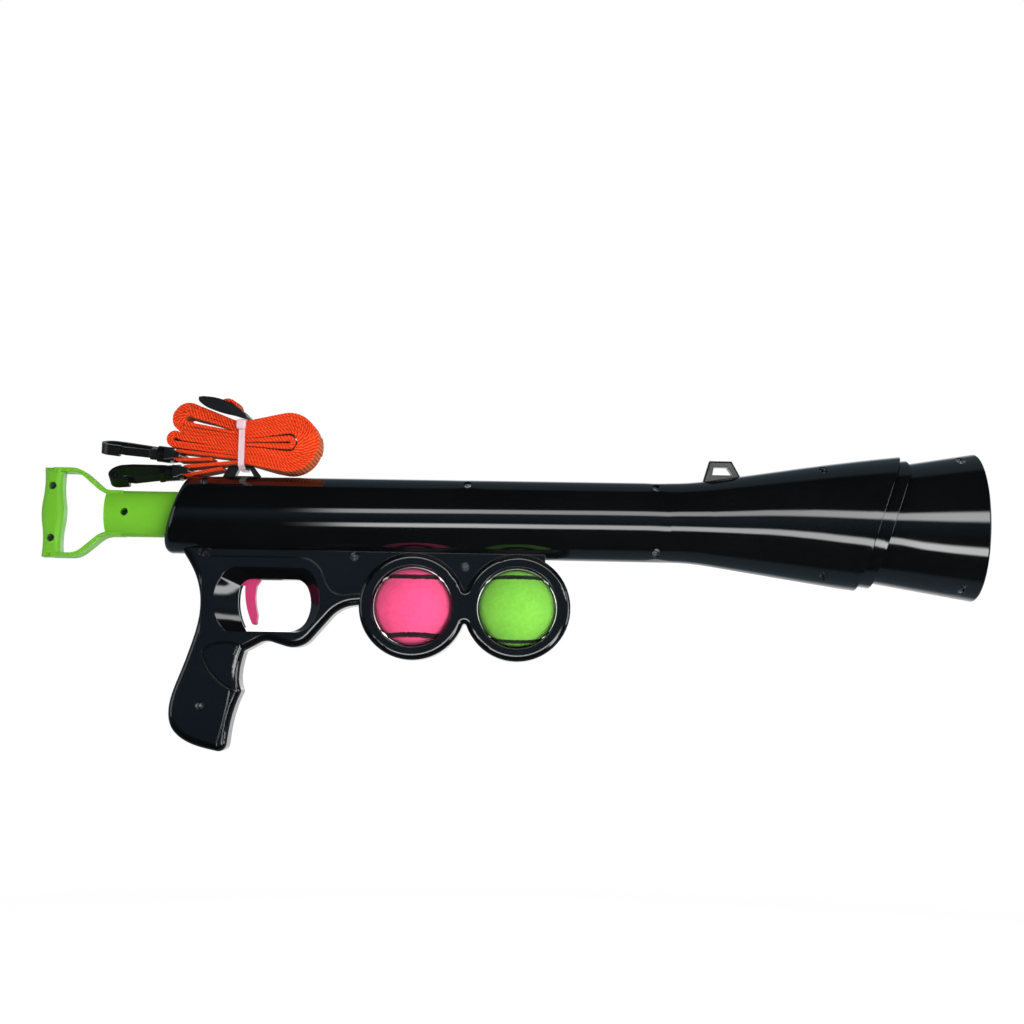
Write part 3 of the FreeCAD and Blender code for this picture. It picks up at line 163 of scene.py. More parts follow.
LOW_STRIP = ((0.010, -0.0720, 0.100, 0.00), (0.030, -0.0660, 0.098, 0.05),
             (0.050, -0.0640, 0.096, 0.20), (0.071, -0.0610, 0.094, 0.62),
             (0.091, -0.0580, 0.093, 0.86), (0.131, -0.0515, 0.092, 1.00),
             (0.210, -0.0360, 0.092, 1.02), (0.293, -0.0290, 0.092, 0.87),
             (0.334, -0.0235, 0.092, 0.87), (0.385, -0.0220, 0.094, 0.84),
             (0.440, -0.0620, 0.105, 0.90), (0.504, -0.1220, 0.118, 0.98),
             (0.526, -0.1800, 0.138, 1.20), (0.555, -0.2080, 0.148, 1.15),
             (0.610, -0.2260, 0.150, 1.08))
# a ramp's channels stop at 1, so the shares are held as parts of this one
TOP_SHARE = 1.25
# where a strip's soft edge ends and begins, in half heights from its middle
STRIP_FADE = (1.35, 0.55)


def area_light(name, spot, aim, size, radiance):
    """A softbox of the given radiance; power is radiance x area x pi."""
    data = bpy.data.lights.new(name, "AREA")
    data.shape = "RECTANGLE"
    data.size, data.size_y = size
    data.energy = radiance * size[0] * size[1] * math.pi
    light = bpy.data.objects.new(name, data)
    scene.collection.objects.link(light)
    light.matrix_world = aimed(spot, aim)
    light.visible_camera = False
    return light


def add_strip(name, stations, radiance):
    """A panel that faces +Y; its nodes draw one soft-edged strip through the stations."""
    low = min(z - height for _, z, height, _ in stations)
    high = max(z + height for _, z, height, _ in stations)
    long, tall = STRIP_ENDS[1] - STRIP_ENDS[0], high - low
    middle = Vector((sum(STRIP_ENDS) / 2, STRIP_Y, (low + high) / 2))
    light = area_light(name, middle, middle + Vector((0, 1, 0)), (long, tall),
                       radiance * TOP_SHARE)
    axes = Matrix(((1, 0, 0), (0, 0, 1), (0, -1, 0))).transposed().to_4x4()
    light.matrix_world = Matrix.Translation(middle) @ axes
    light.data.use_nodes = True
    nodes = light.data.node_tree.nodes
    links = light.data.node_tree.links
    place = nodes.new("ShaderNodeNewGeometry")
    spot = nodes.new("ShaderNodeSeparateXYZ")
    links.new(place.outputs["Parametric"], spot.inputs[0])
    stops = [((x - STRIP_ENDS[0]) / long, ((z - low) / tall, height / 2 / tall, share / TOP_SHARE))
             for x, z, height, share in stations]
    parts = nodes.new("ShaderNodeSeparateColor")
    links.new(colour_ramp(nodes, links, spot.outputs["X"], stops), parts.inputs[0])
    off = maths(nodes, links, "SUBTRACT", spot.outputs["Y"], parts.outputs[0])
    off = maths(nodes, links, "ABSOLUTE", off)
    off = maths(nodes, links, "DIVIDE", off, parts.outputs[1])
    soft = map_range(nodes, links, off, *STRIP_FADE)
    soft.interpolation_type = "SMOOTHSTEP"
    strength = maths(nodes, links, "MULTIPLY", soft.outputs[0], parts.outputs[2])
    links.new(strength, nodes["Emission"].inputs["Strength"])


def add_lights():
    add_strip("high_strip", HIGH_STRIP, HIGH_RADIANCE)
    add_strip("low_strip", LOW_STRIP, LOW_RADIANCE)
    for softbox in SOFTBOXES:
        area_light(*softbox)


# World

WHITE = (1, 1, 1)
FILL = 0.50
# the room that gloss reflects, from the floor up, as (level, colour)
ROOM_WALL = ((0.30, (0.006, 0.008, 0.009)), (0.44, (0.045, 0.085, 0.13)),
             (0.56, (0.10, 0.16, 0.225)), (0.68, (0.004, 0.005, 0.006)))
# the share of a direction that points away from the camera: where each backing starts and is full
BEHIND = (0.03, 0.17)
BEHIND_TINT = (0.128, 0.180, 0.222)
BACKDROP = (0.80, 0.94)


def backing(nodes, strength):
    """A white background of the given strength."""
    node = nodes.new("ShaderNodeBackground")
    node.inputs["Color"].default_value = (*WHITE, 1)
    node.inputs["Strength"].default_value = strength
    return node


def add_world():
    """White to the camera, through clear parts and, in gloss, straight behind; else a dim room."""
    world = bpy.data.worlds.new("studio")
    scene.world = world
    world.use_nodes = True
    nodes = world.node_tree.nodes
    links = world.node_tree.links
    nodes.clear()
    place = nodes.new("ShaderNodeTexCoord")
    way = nodes.new("ShaderNodeSeparateXYZ")
    links.new(place.outputs["Generated"], way.inputs[0])
    level = map_range(nodes, links, way.outputs["Z"], -1, 1).outputs[0]
    wall = colour_ramp(nodes, links, level, ROOM_WALL)
    behind = map_range(nodes, links, way.outputs["Y"], *BEHIND).outputs[0]
    wall = towards(nodes, links, behind, wall, BEHIND_TINT)
    backdrop = map_range(nodes, links, way.outputs["Y"], *BACKDROP).outputs[0]
    room = backing(nodes, 1.0)
    links.new(towards(nodes, links, backdrop, wall, WHITE), room.inputs["Color"])
    path = nodes.new("ShaderNodeLightPath").outputs
    gloss = mixed_shader(nodes, links, path["Is Glossy Ray"], backing(nodes, FILL).outputs[0],
                         room.outputs[0])
    clear = maths(nodes, links, "MAXIMUM", path["Is Camera Ray"], path["Is Transmission Ray"])
    both = mixed_shader(nodes, links, clear, gloss, backing(nodes, 1.0).outputs[0])
    out = nodes.new("ShaderNodeOutputWorld")
    links.new(both, out.inputs[0])


# Materials

SOFT_EDGE = 0.0010
SOFT_EDGE_SAMPLES = 6
TONE_PATCH = 0.05
GLOSS_PATCH = 0.02
FLOW_WAVE = 0.045
FLOW_DEPTH = 0.00004
GRAIN_SIZE = 0.0009


class Stuff:
    """A node material under construction."""

    def __init__(self, name, colour, roughness, **sockets):
        self.material = bpy.data.materials.new(name)
        self.material.use_nodes = True
        self.material.diffuse_color = (*colour, 1)
        self.nodes = self.material.node_tree.nodes
        self.links = self.material.node_tree.links
        self.shader = self.nodes["Principled BSDF"]
        self.shader.inputs["Base Color"].default_value = (*colour, 1)
        self.shader.inputs["Roughness"].default_value = roughness
        for key, value in sockets.items():
            self.shader.inputs[key.replace("_", " ")].default_value = value
        self.normal = None
        self.coords = self.nodes.new("ShaderNodeTexCoord").outputs["Object"]

    def noise(self, size, detail=4.0, roughness=0.55, stretch=(1, 1, 1)):
        """Noise whose features are about a size across, in metres."""
        scale = self.nodes.new("ShaderNodeMapping")
        scale.inputs["Scale"].default_value = [s / size for s in stretch]
        self.links.new(self.coords, scale.inputs["Vector"])
        noise = self.nodes.new("ShaderNodeTexNoise")
        noise.inputs["Scale"].default_value = 1.0
        noise.inputs["Detail"].default_value = detail
        noise.inputs["Roughness"].default_value = roughness
        self.links.new(scale.outputs[0], noise.inputs["Vector"])
        return noise.outputs["Fac"]

    def ramp(self, factor, *stops):
        """Colours by factor; each stop is (position, colour)."""
        return colour_ramp(self.nodes, self.links, factor, stops)

    def spread(self, factor, low, high, start=0.0, end=1.0):
        """The factor's range start to end brought to low to high."""
        return map_range(self.nodes, self.links, factor, start, end, low, high).outputs[0]

    def blend(self, kind, factor, under, over):
        """One colour over another; the factor is a number or a socket."""
        node = self.nodes.new("ShaderNodeMix")
        node.data_type = "RGBA"
        node.blend_type = kind
        if isinstance(factor, float):
            node.inputs[0].default_value = factor
        else:
            self.links.new(factor, node.inputs[0])
        self.links.new(under, node.inputs[6])
        self.links.new(over, node.inputs[7])
        return node.outputs[2]

    def painted(self, layer):
        """The red, green and blue of one of the mesh's colour layers."""
        tone = self.nodes.new("ShaderNodeVertexColor")
        tone.layer_name = layer
        split = self.nodes.new("ShaderNodeSeparateColor")
        self.links.new(tone.outputs[0], split.inputs[0])
        return split.outputs

    def colour(self, value):
        self.links.new(value, self.shader.inputs["Base Color"])

    def rough(self, value):
        self.links.new(value, self.shader.inputs["Roughness"])

    def soft_edges(self, radius):
        """Edges catch the light as if rounded by the radius."""
        node = self.nodes.new("ShaderNodeBevel")
        node.samples = SOFT_EDGE_SAMPLES
        node.inputs["Radius"].default_value = radius
        self.normal = node.outputs[0]
        self.links.new(self.normal, self.shader.inputs["Normal"])

    def bump(self, height, distance):
        """Another layer of bump over those already there."""
        node = self.nodes.new("ShaderNodeBump")
        node.inputs["Strength"].default_value = 1.0
        node.inputs["Distance"].default_value = distance
        self.links.new(height, node.inputs["Height"])
        if self.normal is not None:
            self.links.new(self.normal, node.inputs["Normal"])
        self.normal = node.outputs[0]
        self.links.new(self.normal, self.shader.inputs["Normal"])


def moulded(name, colour, roughness, vary=0.12, grain=0.0, edges=0.0, **sockets):
    """Moulded plastic: faint flow waves in the gloss, fine grain, slight change of tone."""
    stuff = Stuff(name, colour, roughness, **sockets)
    darker = tuple(c * (1 - vary) for c in colour)
    lighter = tuple(min(1.0, c * (1 + vary)) for c in colour)
    stuff.colour(stuff.ramp(stuff.noise(TONE_PATCH, 3), (0.35, darker), (0.65, lighter)))
    stuff.rough(stuff.spread(stuff.noise(GLOSS_PATCH, 5), roughness * 0.8, roughness * 1.3,
                             0.3, 0.7))
    if edges:
        stuff.soft_edges(edges)
    stuff.bump(stuff.noise(FLOW_WAVE, 1.5), FLOW_DEPTH)
    if grain:
        stuff.bump(stuff.noise(GRAIN_SIZE, 3), grain)
    return stuff.material


def metal(name, colour, roughness, stretch=(1, 1, 1), patch=0.006, dull=0.75):
    """Metal in patches of the colour and a duller one."""
    stuff = Stuff(name, colour, roughness, Metallic=1.0)
    stuff.rough(stuff.spread(stuff.noise(0.002, 3, stretch=stretch), roughness * 0.7,
                             roughness * 1.4, 0.3, 0.7))
    darker = tuple(c * dull for c in colour)
    stuff.colour(stuff.ramp(stuff.noise(patch, 4), (0.3, darker), (0.7, colour)))
    return stuff.material


def nylon():
    """Milky nylon, with light spread inside it; the pink in its colour is painted light, the
    webbing's orange showing through.
    """
    stuff = Stuff("clear_nylon_tie", (0.86, 0.66, 0.71), 0.26, Subsurface_Weight=0.5,
                  Subsurface_Radius=(0.003, 0.002, 0.002))
    stuff.rough(stuff.spread(stuff.noise(0.008, 2), 0.2, 0.34, 0.3, 0.7))
    return stuff.material


def woven():
    """Orange webbing, bright edges and duller faces; painted highlight on crests, painted shade in
    dips and between layers.
    """
    stuff = Stuff("orange_webbing", (0.85, 0.10, 0.02), 0.75, Sheen_Weight=0.03,
                  Sheen_Roughness=0.4, Specular_IOR_Level=0.12)
    weave_and_shade, is_face, height = stuff.painted("weave_and_shade")
    # painted highlight on the crests of the stitches and ribs, painted shade in the dips between
    # them
    edge = stuff.ramp(weave_and_shade, (0.0, (0.74, 0.020, 0.003)), (0.35, (0.92, 0.044, 0.006)),
                      (0.70, (0.99, 0.080, 0.014)), (1.0, (1.0, 0.19, 0.055)))
    face = stuff.ramp(weave_and_shade, (0.0, (0.36, 0.050, 0.012)), (0.45, (0.58, 0.105, 0.028)),
                      (1.0, (0.78, 0.200, 0.060)))
    mix = stuff.blend("MIX", is_face, edge, face)
    # painted shade where an edge's rounding meets the face, in the gaps between layers
    shade = stuff.ramp(height, (0.86, (1, 1, 1)), (1.0, (0.80, 0.55, 0.50)))
    blotch = stuff.ramp(stuff.noise(0.0012, 4), (0.3, (0.62, 0.50, 0.45)), (0.65, (1, 1, 1)))
    mix = stuff.blend("MULTIPLY", 1.0, mix, shade)
    stuff.colour(stuff.blend("MULTIPLY", 0.22, mix, blotch))
    stuff.bump(stuff.noise(0.0005, 3), 0.00010)
    return stuff.material


def felt(name, colour, seam):
    """Ball felt: matted fibres with soft tone changes; the seam's rubber shows dark."""
    stuff = Stuff(name, colour, 0.95, Sheen_Weight=0.10, Sheen_Roughness=0.5,
                  Specular_IOR_Level=0.2)
    darker = tuple(c * 0.86 for c in colour)
    lighter = tuple(min(1.0, c * 1.08) for c in colour)
    cloth = stuff.ramp(stuff.noise(0.0035, 6, 0.7), (0.3, darker), (0.7, lighter))
    stuff.colour(towards(stuff.nodes, stuff.links, stuff.painted("seam")[0], cloth, seam))
    stuff.bump(stuff.noise(0.0006, 5, 0.75), 0.00035)
    stuff.bump(stuff.noise(0.006, 3), 0.0003)
    return stuff.material


def make_materials():
    return {
        "black_gloss": moulded("black_gloss_plastic", (0.0028, 0.0034, 0.0039), 0.06,
                               edges=SOFT_EDGE, Specular_IOR_Level=0.6),
        "black_loop": moulded("black_loop_plastic", (0.0040, 0.0046, 0.0050), 0.30,
                              edges=SOFT_EDGE),
        "green_plastic": moulded("green_moulded_plastic", (0.185, 0.59, 0.022), 0.40, vary=0.05,
                                 grain=0.00001, Specular_IOR_Level=0.35),
        "pink_plastic": moulded("pink_moulded_plastic", (0.60, 0.026, 0.15), 0.36, vary=0.06,
                                grain=0.00001),
        "black_satin": moulded("black_satin_plastic", (0.0065, 0.0070, 0.0075), 0.30, vary=0.2,
                               grain=0.00002),
        "steel": metal("bright_steel", (0.62, 0.62, 0.64), 0.25),
        "black_steel": metal("screw_steel", (0.42, 0.42, 0.44), 0.32, patch=0.0015, dull=0.03),
        "tube_metal": metal("drawn_tube", (0.75, 0.76, 0.78), 0.22, (0.05, 1, 1)),
        "rubber_pad": moulded("soft_black_rubber", (0.02, 0.02, 0.02), 0.7, vary=0.2,
                              grain=0.00003),
        "clear_nylon": nylon(),
        "webbing": woven(),
        "pink_ball": felt("pink_felt", (0.97, 0.085, 0.245), (0.012, 0.003, 0.005)),
        "green_ball": felt("green_felt", (0.195, 0.56, 0.055), (0.004, 0.010, 0.003)),
    }


# The CAD's own nodes

def dress_frame(made):
    """Each CAD node takes the material of its slot in the record; the sling loops are duller."""
    for part in frame["record"]["subparts"]:
        node = frame["nodes"].get(part["node"])
        if node is not None:
            is_loop = part["node"].endswith("sling_loop")
            for place in node.material_slots:
                place.material = made["black_loop" if is_loop else part["material_slot"]]


def shorten_springs():
    """Each hidden spring is meant to shorten towards its fixed end as its joint moves, as the
    record says.

    The hinged one would shorten evenly by the travel at its outer edge, where the trigger moves
    furthest. Here each spring only gets its own copy of its mesh; the anchor at its fixed end is
    found but not used.
    """
    for joint in frame["record"]["behaviour"]["joints"]:
        for spring in joint.get("deforming_nodes", ()):
            low, high = (Vector(corner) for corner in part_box(spring["node"]))
            if spring["mode"] == "scale_x":
                axis, fixed = Vector((1, 0, 0)), spring["fixed_end_x_m"]
            else:
                axis, fixed = Vector((0, 0, 1)), spring["fixed_end_z_m"]
            anchor = (low + high) / 2
            anchor += axis * (fixed - anchor.dot(axis))
            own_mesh(frame["nodes"][spring["node"]])


def add_piece(name, mesh, material):
    """An object of the mesh, linked to the scene, in one material."""
    piece = bpy.data.objects.new(name, mesh)
    scene.collection.objects.link(piece)
    mesh.materials.append(material)
    return piece


def paint(mesh, layer, tone):
    """Stores a colour for each vertex and shades the mesh smooth."""
    colours = mesh.color_attributes.new(layer, "FLOAT_COLOR", "POINT")
    colours.data.foreach_set("color", tone.reshape(-1).astype(np.float32))
    mesh.polygons.foreach_set("use_smooth", [True] * len(mesh.polygons))


# Webbing: the same belt round pulleys as the CAD, then a ribbed band along it

# the folded bundle, as in the CAD
WAIST_X = 0.0305
WAIST_TOP_Z = 0.2062
WEB_WIDTH = 0.020
WEB_THICKNESS = 0.00275
WEB_PITCH = 0.00285
WEB_LAYERS = 12
WAIST_BEND_R = 0.024
BUNDLE_YAW = math.radians(-6.0)
RIGHT_LOBE = (0.0683, 0.1893)
RIGHT_RADII = (0.0032, 0.0089, 0.0122, 0.0155, 0.0188, 0.0221)
UPPER_LOBE = (-0.0139, 0.2084)
UPPER_RADII = (0.0044, 0.0082, 0.0113)
LOWER_LOBE = (-0.0248, 0.1918)
LOWER_RADII = (0.0027, 0.0054)
# each lobe's side, middle, radii from the inside out, the layer over its core and its turn
LOBES = (("right", RIGHT_LOBE, RIGHT_RADII, 5, -1), ("left", UPPER_LOBE, UPPER_RADII, 2, 1),
         ("left", LOWER_LOBE, LOWER_RADII, 7, 1))
# layers that pass under the upper lobe on their way left
UNDER_UPPER = (6, 7)
UPPER_BAR = (-0.0215, 0.1787)
LOWER_BAR = (-0.0140, 0.1662)
BAR_WRAP_R = 0.0035
UPPER_TAIL = (0.0060, 0.1756)
LOWER_TAIL = (0.0145, 0.1683)

# the weave
RIB = 0.0027
STEPS_PER_RIB = 7
SLANT = 3.3
STITCH_DEPTH = 0.00050
RIB_DEPTH = 0.00018
FACE_REACH = 0.94
FACE_STEPS = 10
EDGE_REACH = 0.945
EDGE_BULGE = 0.06
EDGE_STEP = 18
DRIFT, DRIFT_KNOTS = 0.00028, 40
WOBBLE, WOBBLE_KNOTS = 0.35, 500

# how much fuller the folded band is, and how far its far edge hangs, where layers part
LAYER_GAP = 0.00002
RIGHT_FULLER, LEFT_FULLER = 0.00043, 0.00020
RIGHT_CORE, RIGHT_CORE_HALF = 0.0013, 0.0068
UPPER_CORE, UPPER_CORE_HALF = 0.0012, 0.0052
RIGHT_LEAN, LEFT_LEAN, UPPER_LEAN = 0.0018, 0.0007, 0.0010

# the sewn end over the tilted slide, and the slide's bar, as in the CAD
ADJUSTER_SPOT = (0.0152, 0.2193)
ADJUSTER_TILT = math.radians(-22.0)
ADJUSTER_BAR_X = 0.0035
SEWN_END_Z = -0.004 + 0.0032 / 2 + 0.0004
SEWN_BEND_R = 0.0034
SEWN_CROWN = (0, -0.0026, 0.0076, -1)


def direction(a, b):
    return math.atan2(b[1] - a[1], b[0] - a[0])


def belt(pulleys):
    """Runs and arcs of a belt round pulleys (x, z, radius, turn); turn is +1 to the left."""
    angles = []
    for a, b in zip(pulleys, pulleys[1:]):
        span = math.hypot(b[0] - a[0], b[1] - a[1])
        angles.append(direction(a, b) - math.asin((b[3] * b[2] - a[3] * a[2]) / span))
    route = []
    for i, angle in enumerate(angles):
        normal = (-math.sin(angle), math.cos(angle))
        ends = [(x - turn * radius * normal[0], z - turn * radius * normal[1])
                for x, z, radius, turn in pulleys[i:i + 2]]
        route.append(("run", ends[0], ends[1]))
        if i + 1 < len(angles):
            x, z, radius, turn = pulleys[i + 1]
            swing = (turn * (angles[i + 1] - angle)) % (2 * math.pi)
            route.append(("arc", (x, z), radius, turn, angle - turn * math.pi / 2, swing))
    return route


def layer_z(layer):
    return WAIST_TOP_Z - (layer + 0.5) * WEB_PITCH


def near_touch(pulley, leaving):
    """Where a belt touches a pulley on its way from or to the waist, near enough."""
    x, z, radius, turn = pulley
    travel = math.copysign(1, x - WAIST_X if leaving else WAIST_X - x)
    return (x, z - turn * travel * radius)


def waist_pulley(layer, before, after):
    """The wide pulley that bends a layer at the waist, between its neighbours."""
    start = near_touch(before, False)
    end = near_touch(after, True)
    here = (WAIST_X, layer_z(layer))
    turn = math.copysign(1, math.sin(direction(here, end) - direction(start, here)))
    travel = math.copysign(1, end[0] - start[0])
    return (WAIST_X, here[1] + turn * travel * WAIST_BEND_R, WAIST_BEND_R, turn)


def lobe_pulleys():
    """For a side and layer: the layer that its lobe leads to, and the pulley on the way."""
    turns = {}
    for side, spot, radii, core, turn in LOBES:
        for k, radius in enumerate(radii):
            above, below = core - k, core + 1 + k
            turns[(side, above)] = (below, (*spot, radius, turn))
            turns[(side, below)] = (above, (*spot, radius, -turn))
    return turns


def stretch(layer, leftward):
    """A layer between two lobes, with the upper lobe in its way where it passes under it."""
    if layer not in UNDER_UPPER:
        return [layer]
    radius = UPPER_RADII[-1] + (layer - UNDER_UPPER[0] + 1) * WEB_PITCH
    if leftward:
        return [layer, (*UPPER_LOBE, radius, -1)]
    return [(*UPPER_LOBE, radius, 1), layer]


def hank_route():
    """Tail, round the lower bar, twelve layers, round the upper bar, tail."""
    turns = lobe_pulleys()
    chain = [(*LOWER_TAIL, 0, 1), (*LOWER_BAR, BAR_WRAP_R, -1)]
    layer, side = WEB_LAYERS - 1, "right"
    while (side, layer) in turns:
        chain += stretch(layer, side == "left")
        layer, pulley = turns[(side, layer)]
        chain.append(pulley)
        side = "left" if side == "right" else "right"
    chain += [layer, (*UPPER_BAR, BAR_WRAP_R, 1), (*UPPER_TAIL, 0, 1)]
    for i, item in enumerate(chain):
        if isinstance(item, int):
            chain[i] = waist_pulley(item, chain[i - 1], chain[i + 1])
    return belt(chain)


def along(route, step):
    """Spots (x, z), unit normals and distances about a step apart along the route."""
    spots, normals, far = [], [], []
    gone = 0.0
    for part in route:
        if part[0] == "run":
            length = math.dist(part[1], part[2])
            angle = direction(part[1], part[2])
        else:
            length = part[2] * part[5]
        count = max(1, round(length / step))
        for k in range(count):
            share = k / count
            if part[0] == "run":
                spot = [a + (b - a) * share for a, b in zip(part[1], part[2])]
                normal = (-math.sin(angle), math.cos(angle))
            else:
                _, centre, radius, turn, start, swing = part
                at = start + turn * swing * share
                spot = [centre[0] + radius * math.cos(at), centre[1] + radius * math.sin(at)]
                normal = (-turn * math.cos(at), -turn * math.sin(at))
            spots.append(spot)
            normals.append(normal)
            far.append(gone + length * share)
        gone += length
    return np.array(spots), np.array(normals), np.array(far), gone


def band_section():
    """The band's cross-section as (across, up, is on an edge), with full round edges."""
    spots = []
    for side in (1, -1):
        for k in range(FACE_STEPS + 1):
            across = -FACE_REACH + 2 * FACE_REACH * k / FACE_STEPS
            spots.append((side * across, side, False))
        for k in range(1, 180 // EDGE_STEP):
            turn = math.radians(90 - EDGE_STEP * k)
            across = EDGE_REACH + EDGE_BULGE * math.cos(turn)
            spots.append((side * across, side * math.sin(turn), True))
    return spots


def fullness(spots):
    """The folded band's thickness at each spot: fuller where its layers lie further apart."""
    x, z = spots[:, 0], spots[:, 1]
    right = np.interp(x, (WAIST_X, 0.058), (0.0, RIGHT_FULLER))
    left = np.interp(x, (-0.010, WAIST_X), (LEFT_FULLER, 0.0)) * np.clip((z - 0.198) / 0.004, 0, 1)
    tails = np.clip((0.186 - z) / 0.004, 0, 1) * np.clip((0.022 - x) / 0.004, 0, 1)
    in_right = np.abs(z - RIGHT_LOBE[1]) < RIGHT_CORE_HALF
    in_upper = np.abs(z - UPPER_LOBE[1]) < UPPER_CORE_HALF
    core = np.interp(x, (0.038, 0.062), (0.0, RIGHT_CORE)) * in_right
    core += np.interp(x, (-0.006, 0.006), (UPPER_CORE, 0.0)) * in_upper
    return (WEB_PITCH - LAYER_GAP + right + left + core) * (1 - tails) + WEB_THICKNESS * tails


def lean(spots):
    """How far the folded band's far edge hangs below its near edge at each spot."""
    x, z = spots[:, 0], spots[:, 1]
    above_tails = np.clip((z - 0.185) / 0.004, 0, 1)
    in_upper = np.clip((z - 0.197) / 0.006, 0, 1)
    right = np.interp(x, (0.036, 0.056), (0.0, RIGHT_LEAN))
    left = np.interp(x, (-0.012, 0.012), (LEFT_LEAN, 0.0)) * above_tails
    upper = np.interp(x, (-0.012, 0.012), (UPPER_LEAN, 0.0)) * in_upper
    return right + left + upper


def tube_faces(count, around):
    """Faces of a closed tube of count rings, with so many vertices around each."""
    faces = []
    for i in range(count - 1):
        a = i * around
        for j in range(around):
            k = (j + 1) % around
            faces.append((a + j, a + k, a + around + k, a + around + j))
    faces.append(tuple(range(around - 1, -1, -1)))
    faces.append(tuple(range((count - 1) * around, count * around)))
    return faces


def woven_band(name, route, material, place=None, seed=1):
    """A ribbed webbing band on edge along a route, with slanting stitches over its edges."""
    spots, normals, far, length = along(route, RIB / STEPS_PER_RIB)
    rng = np.random.default_rng(seed)
    count = len(spots)
    drift = np.interp(far, np.linspace(0, length, DRIFT_KNOTS), rng.normal(0, DRIFT, DRIFT_KNOTS))
    wobble = np.interp(far, np.linspace(0, length, WOBBLE_KNOTS),
                       rng.normal(0, WOBBLE, WOBBLE_KNOTS))
    phase = 2 * math.pi * far / RIB + wobble
    section = band_section()
    half = WEB_WIDTH / 2
    folded = place is None
    thick = fullness(spots) if folded else np.full(count, WEB_THICKNESS)
    hang = lean(spots) if folded else np.zeros(count)
    co = np.zeros((count, len(section), 3))
    tone = np.zeros((count, len(section), 4))
    for j, (across, up, is_edge) in enumerate(section):
        stitch = (0.5 + 0.5 * np.cos(phase - SLANT * up * math.copysign(1, across))) ** 1.5
        rib = 0.5 + 0.5 * np.cos(phase + (0 if up > 0 else math.pi))
        if is_edge:
            reach = half * abs(across) - STITCH_DEPTH * (1 - stitch)
            lift = up * (thick / 2) * (0.95 + 0.05 * stitch)
        else:
            reach = half * abs(across)
            lift = up * (thick / 2 - RIB_DEPTH * (1 - rib))
        co[:, j, 0] = spots[:, 0] + normals[:, 0] * lift
        co[:, j, 2] = spots[:, 1] + normals[:, 1] * lift - hang * (0.5 + across / 2)
        co[:, j, 1] = math.copysign(1, across) * reach + drift
        # first channel: how high the stitch or rib stands here, which the material paints as
        # highlight on crests and shade in dips
        tone[:, j, 0] = stitch if is_edge else rib
        tone[:, j, 1] = 0.0 if is_edge else 1.0
        # third channel: how near the edge's rounding comes to the face, which the material paints
        # as shade between layers
        tone[:, j, 2] = abs(up) if is_edge else 0.0
        tone[:, j, 3] = 1
    mesh = bpy.data.meshes.new(name)
    mesh.from_pydata(co.reshape(-1, 3).tolist(), [], tube_faces(count, len(section)))
    paint(mesh, "weave_and_shade", tone)
    mesh.update()
    if place is not None:
        mesh.transform(place)
    mesh.transform(in_bundle())
    return add_piece(name, mesh, material), length


def in_bundle():
    """The bundle's turn about the upright line through its waist."""
    about = Matrix.Translation((WAIST_X, 0, 0))
    return about @ Matrix.Rotation(BUNDLE_YAW, 4, "Z") @ about.inverted()


def on_slide():
    """The tilted slide's own place, before the bundle's turn."""
    lift = Matrix.Translation((ADJUSTER_SPOT[0], 0, ADJUSTER_SPOT[1]))
    return lift @ Matrix.Rotation(-ADJUSTER_TILT, 4, "Y")


def add_webbing(made):
    hank, length = woven_band("webbing_hank", hank_route(), made["webbing"])
    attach(hank, "launcher")
    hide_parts("strap_hank")
    half = [(-0.0128, SEWN_END_Z, 0, 1), (-0.0104, SEWN_END_Z + SEWN_BEND_R, SEWN_BEND_R, 1),
            SEWN_CROWN]
    mirrored = [(-x, z, radius, turn) for x, z, radius, turn in half[1::-1]]
    pulleys = [(ADJUSTER_BAR_X + x, z, radius, turn) for x, z, radius, turn in half + mirrored]
    end, length = woven_band("webbing_sewn_end", belt(pulleys), made["webbing"], on_slide(), 2)
    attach(end, "launcher")
    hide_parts("strap_sewn_end")


# Strap adjuster

# its near side: the outline (x, z) on the tilted slide, its reach across and its rounding
SIDE_OUTLINE = ((-0.0206, -0.0024), (-0.0140, 0.0003), (-0.0060, 0.0020), (0.0020, 0.0025),
                (0.0100, 0.0016), (0.0160, -0.0004), (0.0206, -0.0028), (0.0200, -0.0048),
                (0.0120, -0.0056), (0.0040, -0.0070), (-0.0040, -0.0078), (-0.0130, -0.0078),
                (-0.0198, -0.0058))
SIDE_STEPS = 5
SIDE_REACH = (-0.0140, -0.0112)
SIDE_EDGE = 0.0007


def rounded(corners, steps):
    """A closed smooth line through the corners."""
    spots = []
    count = len(corners)
    for i in range(count):
        p0, p1, p2, p3 = (np.array(corners[(i + k) % count]) for k in range(-1, 3))
        for k in range(steps):
            t = k / steps
            spots.append(0.5 * (2 * p1 + (p2 - p0) * t + (2 * p0 - 5 * p1 + 4 * p2 - p3) * t ** 2 +
                                (3 * p1 - p0 - 3 * p2 + p3) * t ** 3))
    return spots


def add_adjuster_side(made):
    """The slide's deep moulded near side, over the plain rail of the solid."""
    line = rounded(SIDE_OUTLINE, SIDE_STEPS)
    bm = bmesh.new()
    near, far = ([bm.verts.new((x, y, z)) for x, z in line] for y in SIDE_REACH)
    faces = [bm.faces.new(near), bm.faces.new(far[::-1])]
    for i in range(len(line)):
        k = (i + 1) % len(line)
        bm.faces.new((near[k], near[i], far[i], far[k]))
    rims = [edge for face in faces for edge in face.edges]
    bmesh.ops.bevel(bm, geom=rims, offset=SIDE_EDGE, segments=3, profile=0.5, affect="EDGES")
    bmesh.ops.recalc_face_normals(bm, faces=bm.faces)
    mesh = bpy.data.meshes.new("adjuster_side")
    bm.to_mesh(mesh)
    bm.free()
    mesh.transform(on_slide())
    side = add_piece("adjuster_side", mesh, made["black_satin"])
    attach(side, "launcher")


# Balls

